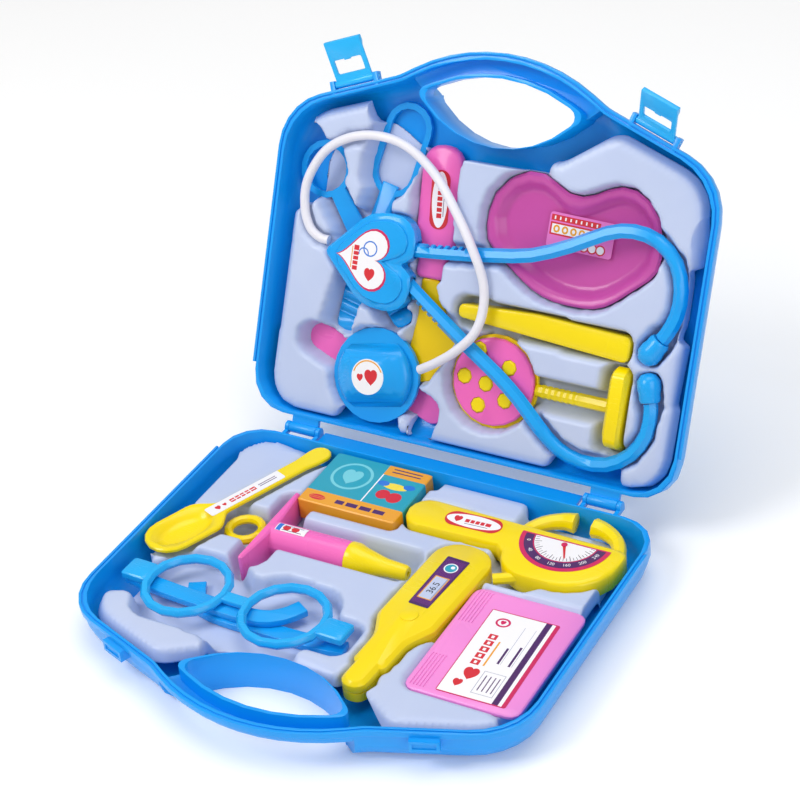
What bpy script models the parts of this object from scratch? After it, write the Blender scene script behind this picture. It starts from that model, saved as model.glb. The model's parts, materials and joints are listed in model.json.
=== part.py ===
"""Toy doctor case, open, with its instruments in their recesses.

Metres, +Z up. The origin is the centre of the flat underside of the base.
Plan places are (x, r): x to the right, r from the back edge of a half's rim towards its handle.
Depth is measured down from a half's rim plane into that half.
"""

import bpy
import math
from mathutils import Matrix, Vector

for old in list(bpy.data.objects):
    bpy.data.objects.remove(old)

# Driving sizes of the case
case_half_width = 0.135
case_height = 0.0235
case_wall = 0.0018
case_centre_r = 0.100
bottom_radius = 0.013
back_corner_radius = 0.022
front_corner_radius = 0.033
shoulder_r = 0.1793
neck_x = 0.0633
neck_r = 0.2051
neck_radius = 0.032
bow_apex_r = 0.2431
bow_radius = 0.1045

# The bead outside the rim, and the groove along its top
bead_width = 0.002
bead_height = 0.004
bead_start_r = 0.0265
groove_width = 0.0009
groove_depth = 0.0008

# The handle: a shallow bow in front of the finger hole
handle_height = 0.0105
handle_round = 0.0045
ring_wall = 0.0018
ring_tip_x = 0.053
ring_tip_r = 0.2003
ring_tip_radius = 0.0044
ring_back_apex_r = 0.147
ring_back_radius = 0.0688
ring_front_apex_r = 0.2265
ring_front_radius = 0.0932
step_inner_x = 0.047
step_inner_r = 0.198
step_outer_x = 0.074
step_outer_r = 0.222

# The hinge, and how far the lid stands open
rim_gap = 0.0003
hinge_back = 0.0068
lid_open_degrees = 116
hinge_station_x = 0.0965
barrel_length = 0.0175
barrel_radius = 0.0033
hinge_pin_radius = 0.0016
running_gap = 0.0003
ear_thickness = 0.0024
ledge_half_length = 0.083
ledge_width = 0.009
ledge_thickness = 0.0020

# Pieces lie this far from what carries them
seat_gap = 0.0003
overrun = 0.004

# Facets of a round stretch
corner_steps = 4
full_round_share = 0.97
straight_share = 0.98
round_steps = 24


def rounded_outline(corners, grow=0.0):
    """Points of a polygon whose corners (x, y, radius, steps) are arcs, offset outwards by grow."""
    corners = [tuple(c) + (corner_steps,) * (4 - len(c)) for c in corners]
    area = sum(
        a[0] * b[1] - b[0] * a[1] for a, b in zip(corners, corners[1:] + corners[:1])
    )
    if area < 0:
        corners = corners[::-1]
    count = len(corners)
    spots = [Vector(c[:2]) for c in corners]
    ways = [(spots[(i + 1) % count] - spots[i]).normalized() for i in range(count)]
    grown, turns, bends = [], [], []
    for i, corner in enumerate(corners):
        before, after = ways[i - 1], ways[i]
        turn = math.atan2(before.cross(after), before.dot(after))
        shift = (Vector((before.y, -before.x)) + Vector((after.y, -after.x))).normalized()
        grown.append(spots[i] + shift * grow / math.cos(turn / 2))
        turns.append(turn)
        bends.append(max(corner[2] + math.copysign(grow, turn), 0.0))
    reaches = [bend * math.tan(abs(turn) / 2) for bend, turn in zip(bends, turns)]
    # Two arcs that would overlap on the side between them both get smaller
    fits = []
    for i in range(count):
        after = (i + 1) % count
        room = straight_share * (grown[after] - grown[i]).length
        fits.append(min(1.0, room / max(reaches[i] + reaches[after], room)))
    points = []
    for i, corner in enumerate(corners):
        before, turn, steps = ways[i - 1], turns[i], corner[3]
        fit = min(fits[i - 1], fits[i])
        start = grown[i] - before * reaches[i] * fit
        bend = math.copysign(bends[i] * fit, turn)
        centre = start + Vector((-before.y, before.x)) * bend
        arm = start - centre
        for k in range(steps + 1):
            points.append(tuple(centre + Matrix.Rotation(turn * k / steps, 2) @ arm))
    return points


def mirrored_corners(half):
    """A full outline from the corners of its +x half, given back to front."""
    left = [(-c[0],) + tuple(c[1:]) for c in reversed(half) if c[0] > 0]
    return list(half) + left


def circle(radius, steps=round_steps, centre=(0.0, 0.0)):
    return [
        (
            centre[0] + radius * math.cos(2 * math.pi * k / steps),
            centre[1] + radius * math.sin(2 * math.pi * k / steps),
        )
        for k in range(steps)
    ]


def at_height(points, height):
    return [(x, y, height) for x, y in points]


def new_mesh_object(name, points, faces):
    mesh = bpy.data.meshes.new(name)
    mesh.from_pydata(points, [], faces)
    mesh.validate()
    piece = bpy.data.objects.new(name, mesh)
    bpy.context.scene.collection.objects.link(piece)
    return piece


def loft(name, rings, closed=False):
    """A solid through rings of as many points each, anticlockwise as seen from the last ring."""
    count = len(rings[0])
    points = [p for ring in rings for p in ring]
    faces = []
    for i in range(len(rings) - (0 if closed else 1)):
        low, high = i * count, (i + 1) % len(rings) * count
        for k in range(count):
            after = (k + 1) % count
            faces.append((low + k, low + after, high + after, high + k))
    if not closed:
        faces.append(tuple(reversed(range(count))))
        faces.append(tuple(range(len(points) - count, len(points))))
    return new_mesh_object(name, points, faces)


def rounding(radius, steps):
    """(inset, height) pairs along a quarter round, from its flat end to its upright end."""
    angles = [math.pi / 2 * k / steps for k in range(steps + 1)]
    return [(radius * (1 - math.sin(a)), radius * (1 - math.cos(a))) for a in angles]


def slab(name, shape, low, high, round_low=0.0, round_high=0.0, steps=2):
    """The outline shape(grow) from height low to high, its edges rounded."""
    levels = [(0.0, low)]
    if round_low:
        levels = [(-inset, low + rise) for inset, rise in rounding(round_low, steps)]
    if round_high:
        levels += [
            (-inset, high - rise) for inset, rise in reversed(rounding(round_high, steps))
        ]
    else:
        levels.append((0.0, high))
    return loft(name, [at_height(shape(grow), height) for grow, height in levels])



def turned(name, profile, steps=round_steps):
    """A solid of revolution about local Z from (radius, height) pairs with rising heights."""
    return loft(name, [at_height(circle(radius, steps), height) for radius, height in profile])


def smooth_path(spots, steps, closed=False):
    """Points of a Catmull-Rom curve through the spots."""
    spots = [Vector(s) for s in spots]
    count = len(spots)
    path = []
    for i in range(count if closed else count - 1):
        if closed:
            a, b, c, d = (spots[(i + k) % count] for k in (-1, 0, 1, 2))
        else:
            b, c = spots[i], spots[i + 1]
            a = spots[i - 1] if i else b * 2 - c
            d = spots[i + 2] if i + 2 < count else c * 2 - b
        for k in range(steps):
            t = k / steps
            point = b * 2 + (c - a) * t
            point += (a * 2 - b * 5 + c * 4 - d) * t**2 + (b * 3 - a - c * 3 + d) * t**3
            path.append(point / 2)
    if not closed:
        path.append(spots[-1])
    return path


def swept(name, path, section, closed=False, scale=None, up=(0, 0, 1)):
    """A section of (side, height) points carried along a path, with its height kept near up."""
    path = [Vector(p) for p in path]
    count = len(path)
    rings = []
    for i, spot in enumerate(path):
        if closed:
            along = path[(i + 1) % count] - path[i - 1]
        else:
            along = path[min(i + 1, count - 1)] - path[max(i - 1, 0)]
        along.normalize()
        side = Vector(up).cross(along).normalized()
        rise = along.cross(side)
        size = scale(i / (count - 1)) if scale else 1
        rings.append([tuple(spot + (side * s + rise * h) * size) for s, h in section])
    return loft(name, rings, closed)


def boolean(target, tool, operation):
    """Joins the tool to the target, or cuts it out, and removes the tool."""
    change = target.modifiers.new(operation.title(), "BOOLEAN")
    change.operation = operation
    change.object = tool
    # Walls that lie face to face leave open edges with EXACT
    change.solver = "MANIFOLD"
    with bpy.context.temp_override(object=target, active_object=target):
        bpy.ops.object.modifier_apply(modifier=change.name)
    bpy.data.objects.remove(tool)
    return target


def cut(target, *tools):
    for tool in tools:
        boolean(target, tool, "DIFFERENCE")
    return target


def join(target, *tools):
    for tool in tools:
        boolean(target, tool, "UNION")
    return target


def moved(piece, shift=(0, 0, 0), turn=(0, 0, 0)):
    """Turns the mesh by degrees about X, Y and Z, then shifts it."""
    angles = [math.radians(a) for a in turn]
    matrix = Matrix.Translation(shift)
    for axis, angle in zip("ZYX", reversed(angles)):
        matrix = matrix @ Matrix.Rotation(angle, 4, axis)
    piece.data.transform(matrix)
    return piece


def box(name, low, high):
    corners = [(low[0], low[1], 0), (high[0], low[1], 0), (high[0], high[1], 0), (low[0], high[1], 0)]
    return loft(
        name, [[(x, y, low[2]) for x, y, z in corners], [(x, y, high[2]) for x, y, z in corners]]
    )


def finished(piece, colour, roughness=0.35, metallic=0.0, crease_degrees=35):
    """Gives a piece its own material, and smooth shading up to the crease angle."""
    material = bpy.data.materials.new(piece.name)
    material.use_nodes = True
    shader = material.node_tree.nodes["Principled BSDF"]
    shader.inputs["Base Color"].default_value = (*colour, 1)
    shader.inputs["Roughness"].default_value = roughness
    shader.inputs["Metallic"].default_value = metallic
    piece.data.materials.clear()
    piece.data.materials.append(material)
    piece.data.shade_smooth()
    piece.data.set_sharp_from_angle(angle=math.radians(crease_degrees))
    return piece


def empty(name, location, rotation=(0, 0, 0), parent=None):
    frame = bpy.data.objects.new(name, None)
    frame.location = location
    frame.rotation_euler = [math.radians(a) for a in rotation]
    frame.parent = parent
    bpy.context.scene.collection.objects.link(frame)
    return frame


case_blue = (0.02, 0.35, 0.87)
latch_blue = (0.03, 0.45, 0.92)
toy_pink = (0.80, 0.15, 0.54)
card_pink = (0.90, 0.30, 0.70)
toy_yellow = (0.94, 0.72, 0.01)
tray_lavender = (0.58, 0.63, 0.84)
tube_white = (0.84, 0.82, 0.80)
box_turquoise = (0.03, 0.38, 0.49)

# Places: the base rim's back edge, and the hinge axis with the lid's own plan on it
base_frame = empty("base_frame", (0, case_centre_r, case_height))
lid_frame = empty(
    "lid_frame",
    (0, case_centre_r + hinge_back, case_height + rim_gap / 2),
    rotation=(180 - lid_open_degrees, 0, 0),
)


def in_base(piece, x, r, depth, turn=0.0):
    """Puts a piece in the base: x and r in plan, depth under the rim, turned as seen from above."""
    piece.parent = base_frame
    piece.location = (x, -r, -depth)
    piece.rotation_euler = (0, 0, math.radians(turn))
    return piece


def in_lid(piece, x, r, depth, turn=0.0, frame=lid_frame):
    """The same in the lid, seen from its open side."""
    piece.parent = frame
    piece.location = (x, r + hinge_back, -depth - rim_gap / 2)
    piece.rotation_euler = (0, 0, math.radians(turn))
    return piece


# Outlines of the case half, with y as r
def case_shape(grow=0.0):
    half = [
        (case_half_width, 0, back_corner_radius, 4),
        (case_half_width, shoulder_r, front_corner_radius, 5),
        (neck_x, neck_r, neck_radius, 2),
        (0, bow_apex_r, bow_radius, 10),
    ]
    return rounded_outline(mirrored_corners(half), grow)


def finger_ring_shape(grow=0.0):
    """The raised wall round the finger hole."""
    half = [
        (0, ring_back_apex_r, ring_back_radius, 8),
        (ring_tip_x, ring_tip_r, ring_tip_radius, 4),
        (0, ring_front_apex_r, ring_front_radius, 6),
    ]
    return rounded_outline(mirrored_corners(half), grow)


def step_shape(grow=0.0):
    """Where the deep body stops short of the handle."""
    half = [
        (step_inner_x, step_inner_r, 0, 1),
        (step_outer_x, step_outer_r, 0, 1),
        (step_outer_x, bow_apex_r + overrun, 0, 1),
    ]
    return rounded_outline(mirrored_corners(half), grow)


def case_half(name):
    """One half of the case on its own plan, its rim plane at height zero and its mouth upwards."""
    floor = -case_height
    handle_floor = -handle_height
    shell = slab(name, case_shape, floor, 3 * overrun, round_low=bottom_radius, steps=3)
    cut(shell, slab("under_bow", step_shape, floor - overrun, 4 * overrun))
    bow = slab("bow", case_shape, handle_floor, 2 * overrun, round_low=handle_round, steps=2)
    join(shell, bow)
    bead = slab(
        "bead",
        lambda grow: case_shape(bead_width + grow),
        -bead_height,
        overrun,
        round_low=bead_width / 3,
        steps=1,
    )
    behind = (case_half_width + 2 * overrun, bead_start_r)
    cut(
        bead,
        box(
            "bead_end",
            (-behind[0], -2 * overrun, -bead_height - overrun),
            (behind[0], behind[1], 2 * overrun),
        ),
    )
    join(shell, bead)
    reach = 2 * case_half_width
    cut(shell, box("above_rim", (-reach, -reach, 0), (reach, 2 * reach, 4 * overrun)))
    hollow = slab(
        "hollow",
        lambda grow: case_shape(grow - case_wall),
        floor + case_wall,
        overrun,
        round_low=bottom_radius - case_wall,
        steps=3,
    )
    cut(
        hollow,
        slab(
            "bow_floor",
            lambda grow: step_shape(grow + case_wall),
            floor - overrun,
            handle_floor + case_wall,
        ),
        slab("ring_keep", finger_ring_shape, floor - overrun, 2 * overrun),
    )
    cut(
        shell,
        hollow,
        slab(
            "finger_hole",
            lambda grow: finger_ring_shape(grow - ring_wall),
            floor - overrun,
            overrun,
        ),
    )
    middle = (bead_width - case_wall) / 2
    levels = [(-1, -groove_depth), (1, -groove_depth), (1, overrun), (-1, overrun)]
    groove = loft(
        "groove",
        [at_height(case_shape(middle + side * groove_width / 2), z) for side, z in levels],
        closed=True,
    )
    return cut(shell, groove)


# Latches on the lid and the lugs they clip over on the base
latch_x = 0.0915
latch_axis_depth = 0.003
latch_axis_out = 0.0048
latch_length = 0.0255
latch_width = 0.025
latch_thickness = 0.0018
latch_barrel_radius = 0.0024
latch_pin_radius = 0.0011
latch_lip_length = 0.006
latch_lip_thickness = 0.0032
window_width = 0.018
window_start = 0.0057
window_end = 0.0142
window_nub_width = 0.004
window_nub_length = 0.0008
lug_width = 0.0155
lug_top_depth = 0.003
lug_bottom_depth = 0.0098
lug_out = 0.0052
lug_recess = 0.0008
lug_frame = 0.0018
latch_left_open_degrees = 70
latch_right_open_degrees = 46
latch_ear_width = 0.0028
shoulder_slope_degrees = math.degrees(
    math.atan2(neck_r - shoulder_r, case_half_width - neck_x)
)


def shoulder_spot(side, out):
    """The plan point on a shoulder, out from the body wall, where a latch stands."""
    slope = math.radians(shoulder_slope_degrees)
    r = shoulder_r + (case_half_width - latch_x) * math.tan(slope)
    return Vector((side * (latch_x + out * math.sin(slope)), r + out * math.cos(slope)))


def at_shoulder(piece, side, out=0.0, height=0.0):
    """Turns a mesh modelled with +Y outwards to a shoulder of a case half and shifts it there."""
    spot = shoulder_spot(side, out)
    return moved(
        piece, (spot.x, spot.y, height), (0, 0, -side * shoulder_slope_degrees)
    )


def framed_lug(name):
    half = lug_width / 2
    lug = box(
        name,
        (-half, -case_wall / 2, -lug_bottom_depth),
        (half, lug_out, -lug_top_depth),
    )
    inner = half - lug_frame
    cut(
        lug,
        box(
            "lug_recess",
            (-inner, lug_out - lug_recess, -lug_bottom_depth + lug_frame),
            (inner, lug_out + overrun, -lug_top_depth - lug_frame),
        ),
    )
    return lug


def across(name, radius, length, steps=round_steps // 2):
    """A round bar along X, centred."""
    bar = turned(name, [(radius, -length / 2), (radius, length / 2)], steps)
    return moved(bar, turn=(0, 90, 0))


def base_shell():
    shell = case_half("base_shell")
    for side in (-1, 1):
        join(shell, at_shoulder(framed_lug("lug"), side))
        for end in (-1, 1):
            edge = barrel_length / 2 + running_gap
            inner, outer = sorted((end * edge, end * (edge + ear_thickness)))
            ear = box(
                "ear",
                (side * hinge_station_x + inner, -hinge_back - barrel_radius, -barrel_radius),
                (side * hinge_station_x + outer, case_wall / 2, -rim_gap),
            )
            boss = across("boss", barrel_radius, outer - inner)
            centre = side * hinge_station_x + (inner + outer) / 2
            join(shell, join(ear, moved(boss, (centre, -hinge_back, rim_gap / 2))))
        pin = across("pin", hinge_pin_radius, barrel_length + 2 * running_gap + ear_thickness)
        join(shell, moved(pin, (side * hinge_station_x, -hinge_back, rim_gap / 2)))
    ledge = box(
        "ledge",
        (-ledge_half_length, -ledge_width, -rim_gap - ledge_thickness),
        (ledge_half_length, case_wall / 2, -rim_gap),
    )
    join(shell, ledge)
    shell.parent = base_frame
    shell.rotation_euler = (0, 0, math.radians(180))
    return finished(shell, case_blue)


def lid_shell():
    shell = case_half("lid_shell")
    for side in (-1, 1):
        barrel = across("barrel", barrel_radius, barrel_length)
        arm = box(
            "arm",
            (-barrel_length / 2, 0, -barrel_radius + rim_gap),
            (barrel_length / 2, hinge_back + case_wall / 2, -rim_gap),
        )
        join(barrel, arm)
        bore = across("bore", hinge_pin_radius + running_gap, barrel_length + overrun)
        cut(barrel, bore)
        join(shell, moved(barrel, (side * hinge_station_x, -hinge_back, rim_gap / 2)))
        for end in (-1, 1):
            edge = latch_width / 2 + running_gap
            inner, outer = sorted((end * edge, end * (edge + latch_ear_width)))
            reach = latch_axis_out + latch_barrel_radius
            depth = latch_axis_depth + latch_barrel_radius
            ear = box("ear", (inner, -case_wall / 2, -depth), (outer, reach, -rim_gap))
            hole = across("hole", latch_pin_radius + running_gap, latch_ear_width + overrun)
            middle = (inner + outer) / 2
            cut(ear, moved(hole, (middle, latch_axis_out, -latch_axis_depth)))
            join(shell, at_shoulder(ear, side))
    shell.parent = lid_frame
    shell.location = (0, hinge_back, -rim_gap / 2)
    return finished(shell, case_blue)


def latch(name, side, open_degrees):
    """Modelled clipped, hanging from its pivot towards +Z with +Y outwards, then flipped open."""
    back = -latch_thickness / 2
    front = latch_thickness / 2
    stop = latch_length
    step = stop - latch_lip_length
    profile = [
        (back, 0, 0, 1),
        (front, 0, 0, 1),
        (front, step, latch_thickness, 2),
        (back + latch_lip_thickness, step + latch_thickness, latch_thickness, 2),
        (back + latch_lip_thickness, stop, latch_thickness / 2, 2),
        (back, stop, latch_thickness / 4, 2),
    ]
    half = (latch_width - latch_thickness) / 2
    plate = slab(name, lambda grow: rounded_outline(profile, grow), -half, half)
    moved(plate, turn=(90, 0, 90))
    join(plate, across("root", latch_barrel_radius, latch_width))
    nub = window_nub_width / 2
    wide = window_width / 2
    window = [
        (-wide, window_start, latch_thickness / 2, 2),
        (wide, window_start, latch_thickness / 2, 2),
        (wide, window_end, latch_thickness / 2, 2),
        (nub, window_end, 0, 1),
        (nub, window_end - window_nub_length, 0, 1),
        (-nub, window_end - window_nub_length, 0, 1),
        (-nub, window_end, 0, 1),
        (-wide, window_end, latch_thickness / 2, 2),
    ]
    opening = slab("window", lambda grow: rounded_outline(window, grow), -overrun, overrun)
    cut(plate, moved(opening, turn=(90, 0, 0)))
    pin_length = latch_width + 2 * (running_gap + latch_ear_width)
    join(plate, across("latch_pins", latch_pin_radius, pin_length))
    spot = shoulder_spot(side, latch_axis_out)
    plate.parent = lid_frame
    plate.location = (spot.x, spot.y + hinge_back, -latch_axis_depth - rim_gap / 2)
    facing = Matrix.Rotation(math.radians(-side * shoulder_slope_degrees), 3, "Z")
    opened = Matrix.Rotation(math.radians(-open_degrees), 3, "X")
    plate.rotation_euler = (facing @ opened).to_euler()
    return finished(plate, latch_blue)


base_shell()
lid_shell()
latch("latch_left", -1, latch_left_open_degrees)
latch("latch_right", 1, latch_right_open_degrees)


# Spoon
spoon_x, spoon_r, spoon_turn_degrees = -0.1135, 0.0990, 68
spoon_length = 0.127
spoon_bowl_length = 0.046
spoon_bowl_width = 0.030
spoon_bowl_depth = 0.0065
spoon_handle_width = 0.0105
spoon_end_width = 0.0135
spoon_thickness = 0.0022
spoon_depth = 0.0018
spoon_bowl_wall = 0.0014


def spoon_shape(grow=0.0):
    """Bowl centred on the origin, handle along +X."""
    bowl, wide = spoon_bowl_length / 2, spoon_bowl_width / 2
    neck, end = spoon_handle_width / 2, spoon_end_width / 2
    reach = spoon_length - bowl
    half = [
        (-bowl, wide, wide * full_round_share, 4),
        (bowl * 0.72, wide, wide * 0.62, 3),
        (bowl * 1.15, neck, wide * 0.4, 2),
        (reach * 0.8, neck, end, 1),
        (reach * 0.9, end, end / 2, 1),
        (reach, end, end * full_round_share, 4),
    ]
    other = [(x, -y, radius, steps) for x, y, radius, steps in reversed(half)]
    return rounded_outline(half + other, grow)


def spoon_bowl_shape(grow=0.0):
    long, wide = spoon_bowl_length / 2 + grow, spoon_bowl_width / 2 + grow
    return [(x * long, y * wide) for x, y in circle(1, 20)]


def spoon():
    piece = slab("spoon", spoon_shape, -spoon_thickness, 0, round_high=spoon_thickness / 3, steps=1)
    inset = spoon_bowl_wall
    levels = [
        (0.55, -spoon_bowl_depth),
        (0.85, -spoon_bowl_depth * 0.72),
        (1.0, -spoon_thickness * 0.35),
    ]
    bowl = [
        [(x * share, y * share, z) for x, y in spoon_bowl_shape(-inset)] for share, z in levels
    ]
    join(piece, loft("bowl", bowl))
    hollow = [
        [(x * share, y * share, z + inset) for x, y in spoon_bowl_shape(-2 * inset)]
        for share, z in levels
    ]
    hollow.append(at_height(spoon_bowl_shape(-2 * inset), overrun))
    cut(piece, loft("bowl_hollow", hollow))
    in_base(piece, spoon_x, spoon_r, spoon_depth, spoon_turn_degrees)
    return finished(piece, toy_yellow)


# Medicine box
box_left, box_right = -0.0665, -0.0045
box_back_r, box_front_r = 0.0040, 0.0520
box_depth = 0.0012
box_height = 0.0140
box_corner = 0.0012


def medicine_box_shape(grow=0.0):
    corners = [
        (box_left, -box_back_r, box_corner, 2),
        (box_right, -box_back_r, box_corner, 2),
        (box_right, -box_front_r, box_corner, 2),
        (box_left, -box_front_r, box_corner, 2),
    ]
    return rounded_outline(corners, grow)


def medicine_box():
    piece = slab("medicine_box", medicine_box_shape, -box_height, 0, box_corner / 2, box_corner / 2, 1)
    return finished(in_base(piece, 0, 0, box_depth), box_turquoise, 0.5)


# Syringe, along +X with its ring to the left
syringe_x, syringe_r, syringe_depth = -0.0710, 0.0780, 0.0108
barrel_bore = 0.0078
syringe_radius = 0.0093
syringe_barrel_length = 0.053
wing_half_span = 0.032
wing_height = 0.0180
wing_thickness = 0.003
nozzle_collar_radius = 0.0096
nozzle_length = 0.036
nozzle_tip_radius = 0.0045
nozzle_bore = 0.0015
plunger_rod_radius = 0.0036
plunger_ring_radius = 0.0125
plunger_ring_tube = 0.0027
plunger_out = 0.0055
piston_radius = 0.0073
piston_length = 0.004


def along_x(piece):
    """Turns a solid of revolution about Z to lie along +X."""
    return moved(piece, turn=(0, 90, 0))


def syringe_barrel():
    length = syringe_barrel_length
    profile = [(syringe_radius, wing_thickness / 2), (syringe_radius, length)]
    piece = along_x(turned("syringe_barrel", profile, 20))
    corners = [
        (0, -wing_half_span, wing_thickness * 0.45, 2),
        (wing_thickness, -wing_half_span, wing_thickness * 0.45, 2),
        (wing_thickness * 1.8, -syringe_radius, syringe_radius, 2),
        (wing_thickness * 1.8, syringe_radius, syringe_radius, 2),
        (wing_thickness, wing_half_span, wing_thickness * 0.45, 2),
        (0, wing_half_span, wing_thickness * 0.45, 2),
    ]
    wings = slab(
        "wings", lambda grow: rounded_outline(corners, grow), -wing_height / 2, wing_height / 2,
        wing_thickness / 3, wing_thickness / 3, 1,
    )
    join(piece, wings)
    bore = along_x(
        turned(
            "barrel_bore",
            [(barrel_bore, 1.1 * wing_thickness), (barrel_bore, length + overrun)],
            20,
        )
    )
    rod_hole = along_x(
        turned(
            "rod_hole",
            [(plunger_rod_radius + running_gap, -overrun), (plunger_rod_radius + running_gap, overrun)],
            16,
        )
    )
    cut(piece, bore, rod_hole)
    in_base(piece, syringe_x, syringe_r, syringe_depth)
    return finished(piece, toy_pink)


def syringe_nozzle():
    start = syringe_barrel_length + seat_gap
    collar = nozzle_collar_radius
    tip = nozzle_tip_radius
    spigot = barrel_bore - seat_gap
    profile = [
        (spigot, start - wing_thickness),
        (spigot, start),
        (collar, start),
        (collar, start + nozzle_length * 0.12),
        (collar * 0.86, start + nozzle_length * 0.22),
        (collar * 0.62, start + nozzle_length * 0.5),
        (tip * 1.15, start + nozzle_length * 0.62),
        (tip, start + nozzle_length * 0.95),
        (tip * 0.8, start + nozzle_length),
    ]
    piece = along_x(turned("syringe_nozzle", profile, 20))
    hole = along_x(
        turned(
            "nozzle_hole",
            [(nozzle_bore, start - 2 * overrun), (nozzle_bore, start + nozzle_length + overrun)],
            8,
        )
    )
    cut(piece, hole)
    in_base(piece, syringe_x, syringe_r, syringe_depth)
    return finished(piece, toy_yellow)


def syringe_plunger():
    piston_end = syringe_barrel_length * 0.45
    profile = [
        (plunger_rod_radius, -plunger_out - plunger_ring_tube / 3),
        (plunger_rod_radius, piston_end),
        (piston_radius, piston_end),
        (piston_radius, piston_end + piston_length),
    ]
    piece = along_x(turned("syringe_plunger", profile, 18))
    middle = plunger_ring_radius - plunger_ring_tube
    ring_centre = -plunger_out - middle
    path = [(ring_centre + x, y, 0) for x, y in circle(middle, 16)]
    ring = swept("plunger_ring", path, circle(plunger_ring_tube, 8), closed=True)
    join(piece, ring)
    in_base(piece, syringe_x, syringe_r, syringe_depth)
    return finished(piece, toy_yellow)


# Glasses: a front lying flat, its temples folded under it
glasses_x, glasses_r, glasses_turn_degrees = -0.0535, 0.1400, -1.5
glasses_depth = 0.0050
lens_spacing = 0.0630
lens_ring_radius = 0.0262
lens_ring_tube = 0.0028
bridge_width = 0.007
lug_reach = 0.0710
lug_height = 0.0145
lug_thickness = 0.0050
temple_thickness = 0.0040
temple_width = 0.0100
temple_depth = 0.0098
temple_length = 0.118
temple_line_shares = [(0, 0), (0.15, -0.02), (0.55, -0.035), (0.74, -0.02), (0.83, 0.04), (0.88, 0.12)]


def glasses_front():
    middle = lens_ring_radius - lens_ring_tube
    rings = []
    for side in (-1, 1):
        path = [(side * lens_spacing / 2 + x, y, 0) for x, y in circle(middle, 16)]
        rings.append(swept("glasses_front", path, circle(lens_ring_tube, 6), closed=True))
    inner = lens_spacing / 2 - middle
    bridge = box(
        "bridge",
        (-inner, -bridge_width / 2, -lens_ring_tube / 2),
        (inner, bridge_width / 2, lens_ring_tube / 2),
    )
    piece = join(rings[0], bridge, rings[1])
    for side in (-1, 1):
        near = lens_spacing / 2 + middle
        low, high = sorted((side * near, side * lug_reach))
        corners = [
            (low, -lug_height / 2, lug_thickness / 4, 2),
            (high, -lug_height / 2, lug_thickness / 4, 2),
            (high, lug_height / 2, lug_thickness / 4, 2),
            (low, lug_height / 2, lug_thickness / 4, 2),
        ]
        lug = slab(
            "temple_lug", lambda grow: rounded_outline(corners, grow), -lug_thickness / 2,
            lug_thickness / 2, lug_thickness / 6, lug_thickness / 6, 1,
        )
        join(piece, lug)
    in_base(piece, glasses_x, glasses_r, glasses_depth, glasses_turn_degrees)
    return finished(piece, case_blue)


def glasses_temple(name, side):
    """Folded: from the lug on its side across to the other lens, with its ear hook at the end."""
    width = temple_width
    start = side * (lug_reach - lug_thickness / 4)
    shift = width * (0.0 if side < 0 else -0.2)
    path = [
        (start - side * temple_length * along, shift + temple_length * rise, 0)
        for along, rise in temple_line_shares
    ]
    half = temple_thickness / 2
    section = [(-width / 2, -half), (width / 2, -half), (width / 2, half), (-width / 2, half)]
    piece = swept(name, smooth_path(path, 3), section)
    return piece


def glasses_temple_pair():
    for name, side, depth in (
        ("glasses_temple_left", -1, temple_depth),
        ("glasses_temple_right", 1, temple_depth + temple_thickness + seat_gap),
    ):
        piece = glasses_temple(name, side)
        in_base(piece, glasses_x, glasses_r, depth, glasses_turn_degrees)
        finished(piece, case_blue)


# Thermometer, tip towards +X of its own plan
thermometer_x, thermometer_r, thermometer_turn_degrees = 0.0420, 0.1150, -93.3
thermometer_length = 0.126
thermometer_head_width = 0.035
thermometer_waist_width = 0.020
thermometer_tip_width = 0.0145
thermometer_tip_length = 0.019
thermometer_front_height = 0.0065
thermometer_back_height = 0.0075
thermometer_depth = 0.0012
button_radius = 0.005
button_height = 0.0006


def thermometer_shape(grow=0.0):
    head, waist = thermometer_head_width / 2, thermometer_waist_width / 2
    tip = thermometer_tip_width / 2
    left = -thermometer_length / 2
    half = [
        (left, head, head * 0.85, 5),
        (left + thermometer_length * 0.56, head, head * 0.5, 3),
        (left + thermometer_length * 0.68, waist, head, 2),
        (-left - thermometer_tip_length, waist * 0.96, waist / 5, 1),
        (-left - thermometer_tip_length * 0.95, tip, 0, 1),
        (-left, tip, tip * 0.9, 4),
    ]
    other = [(x, -y, radius, steps) for x, y, radius, steps in reversed(half)]
    return rounded_outline(half + other, grow)


def thermometer():
    edge = thermometer_front_height / 3
    front = slab("thermometer_front", thermometer_shape, -thermometer_front_height, 0, 0, edge, 1)
    button_x = thermometer_length * 0.03
    button = turned("button", [(button_radius, -edge), (button_radius, button_height)], 16)
    join(front, moved(button, (button_x, 0, 0)))
    top = -thermometer_front_height - seat_gap
    back = slab(
        "thermometer_back", thermometer_shape, top - thermometer_back_height, top, edge, 0, 1
    )
    for piece in (front, back):
        in_base(piece, thermometer_x, thermometer_r, thermometer_depth, thermometer_turn_degrees)
        finished(piece, toy_yellow)


# Hand-held dial gauge
gauge_x, gauge_r, gauge_depth = 0.0920, 0.0330, 0.0012
gauge_disc_radius = 0.034
gauge_flat_half = 0.033
gauge_height = 0.011
gauge_back_height = 0.003
gauge_handle_width = 0.024
gauge_handle_reach = 0.0955
gauge_arm_width = 0.0095
gauge_arm_height = 0.009


def gauge_body_shape(grow=0.0):
    """A half disc with its flat side up, and the handle out to the left."""
    half, handle, reach = gauge_flat_half, gauge_handle_width / 2, gauge_handle_reach
    radius = gauge_disc_radius
    corners = [
        (-reach, -handle * 1.25, handle * 0.95, 4),
        (-half * 0.95, -handle * 1.1, radius * 0.2, 1),
        (-half * 0.80, -radius * 0.98, radius * 0.75, 5),
        (half * 1.05, -radius * 0.98, radius * 0.85, 5),
        (half * 1.05, half * 0.20, radius * 0.12, 2),
        (-half, half * 0.24, radius * 0.08, 1),
        (-reach, handle * 0.85, handle * 0.95, 4),
    ]
    return rounded_outline(corners, grow)


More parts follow.
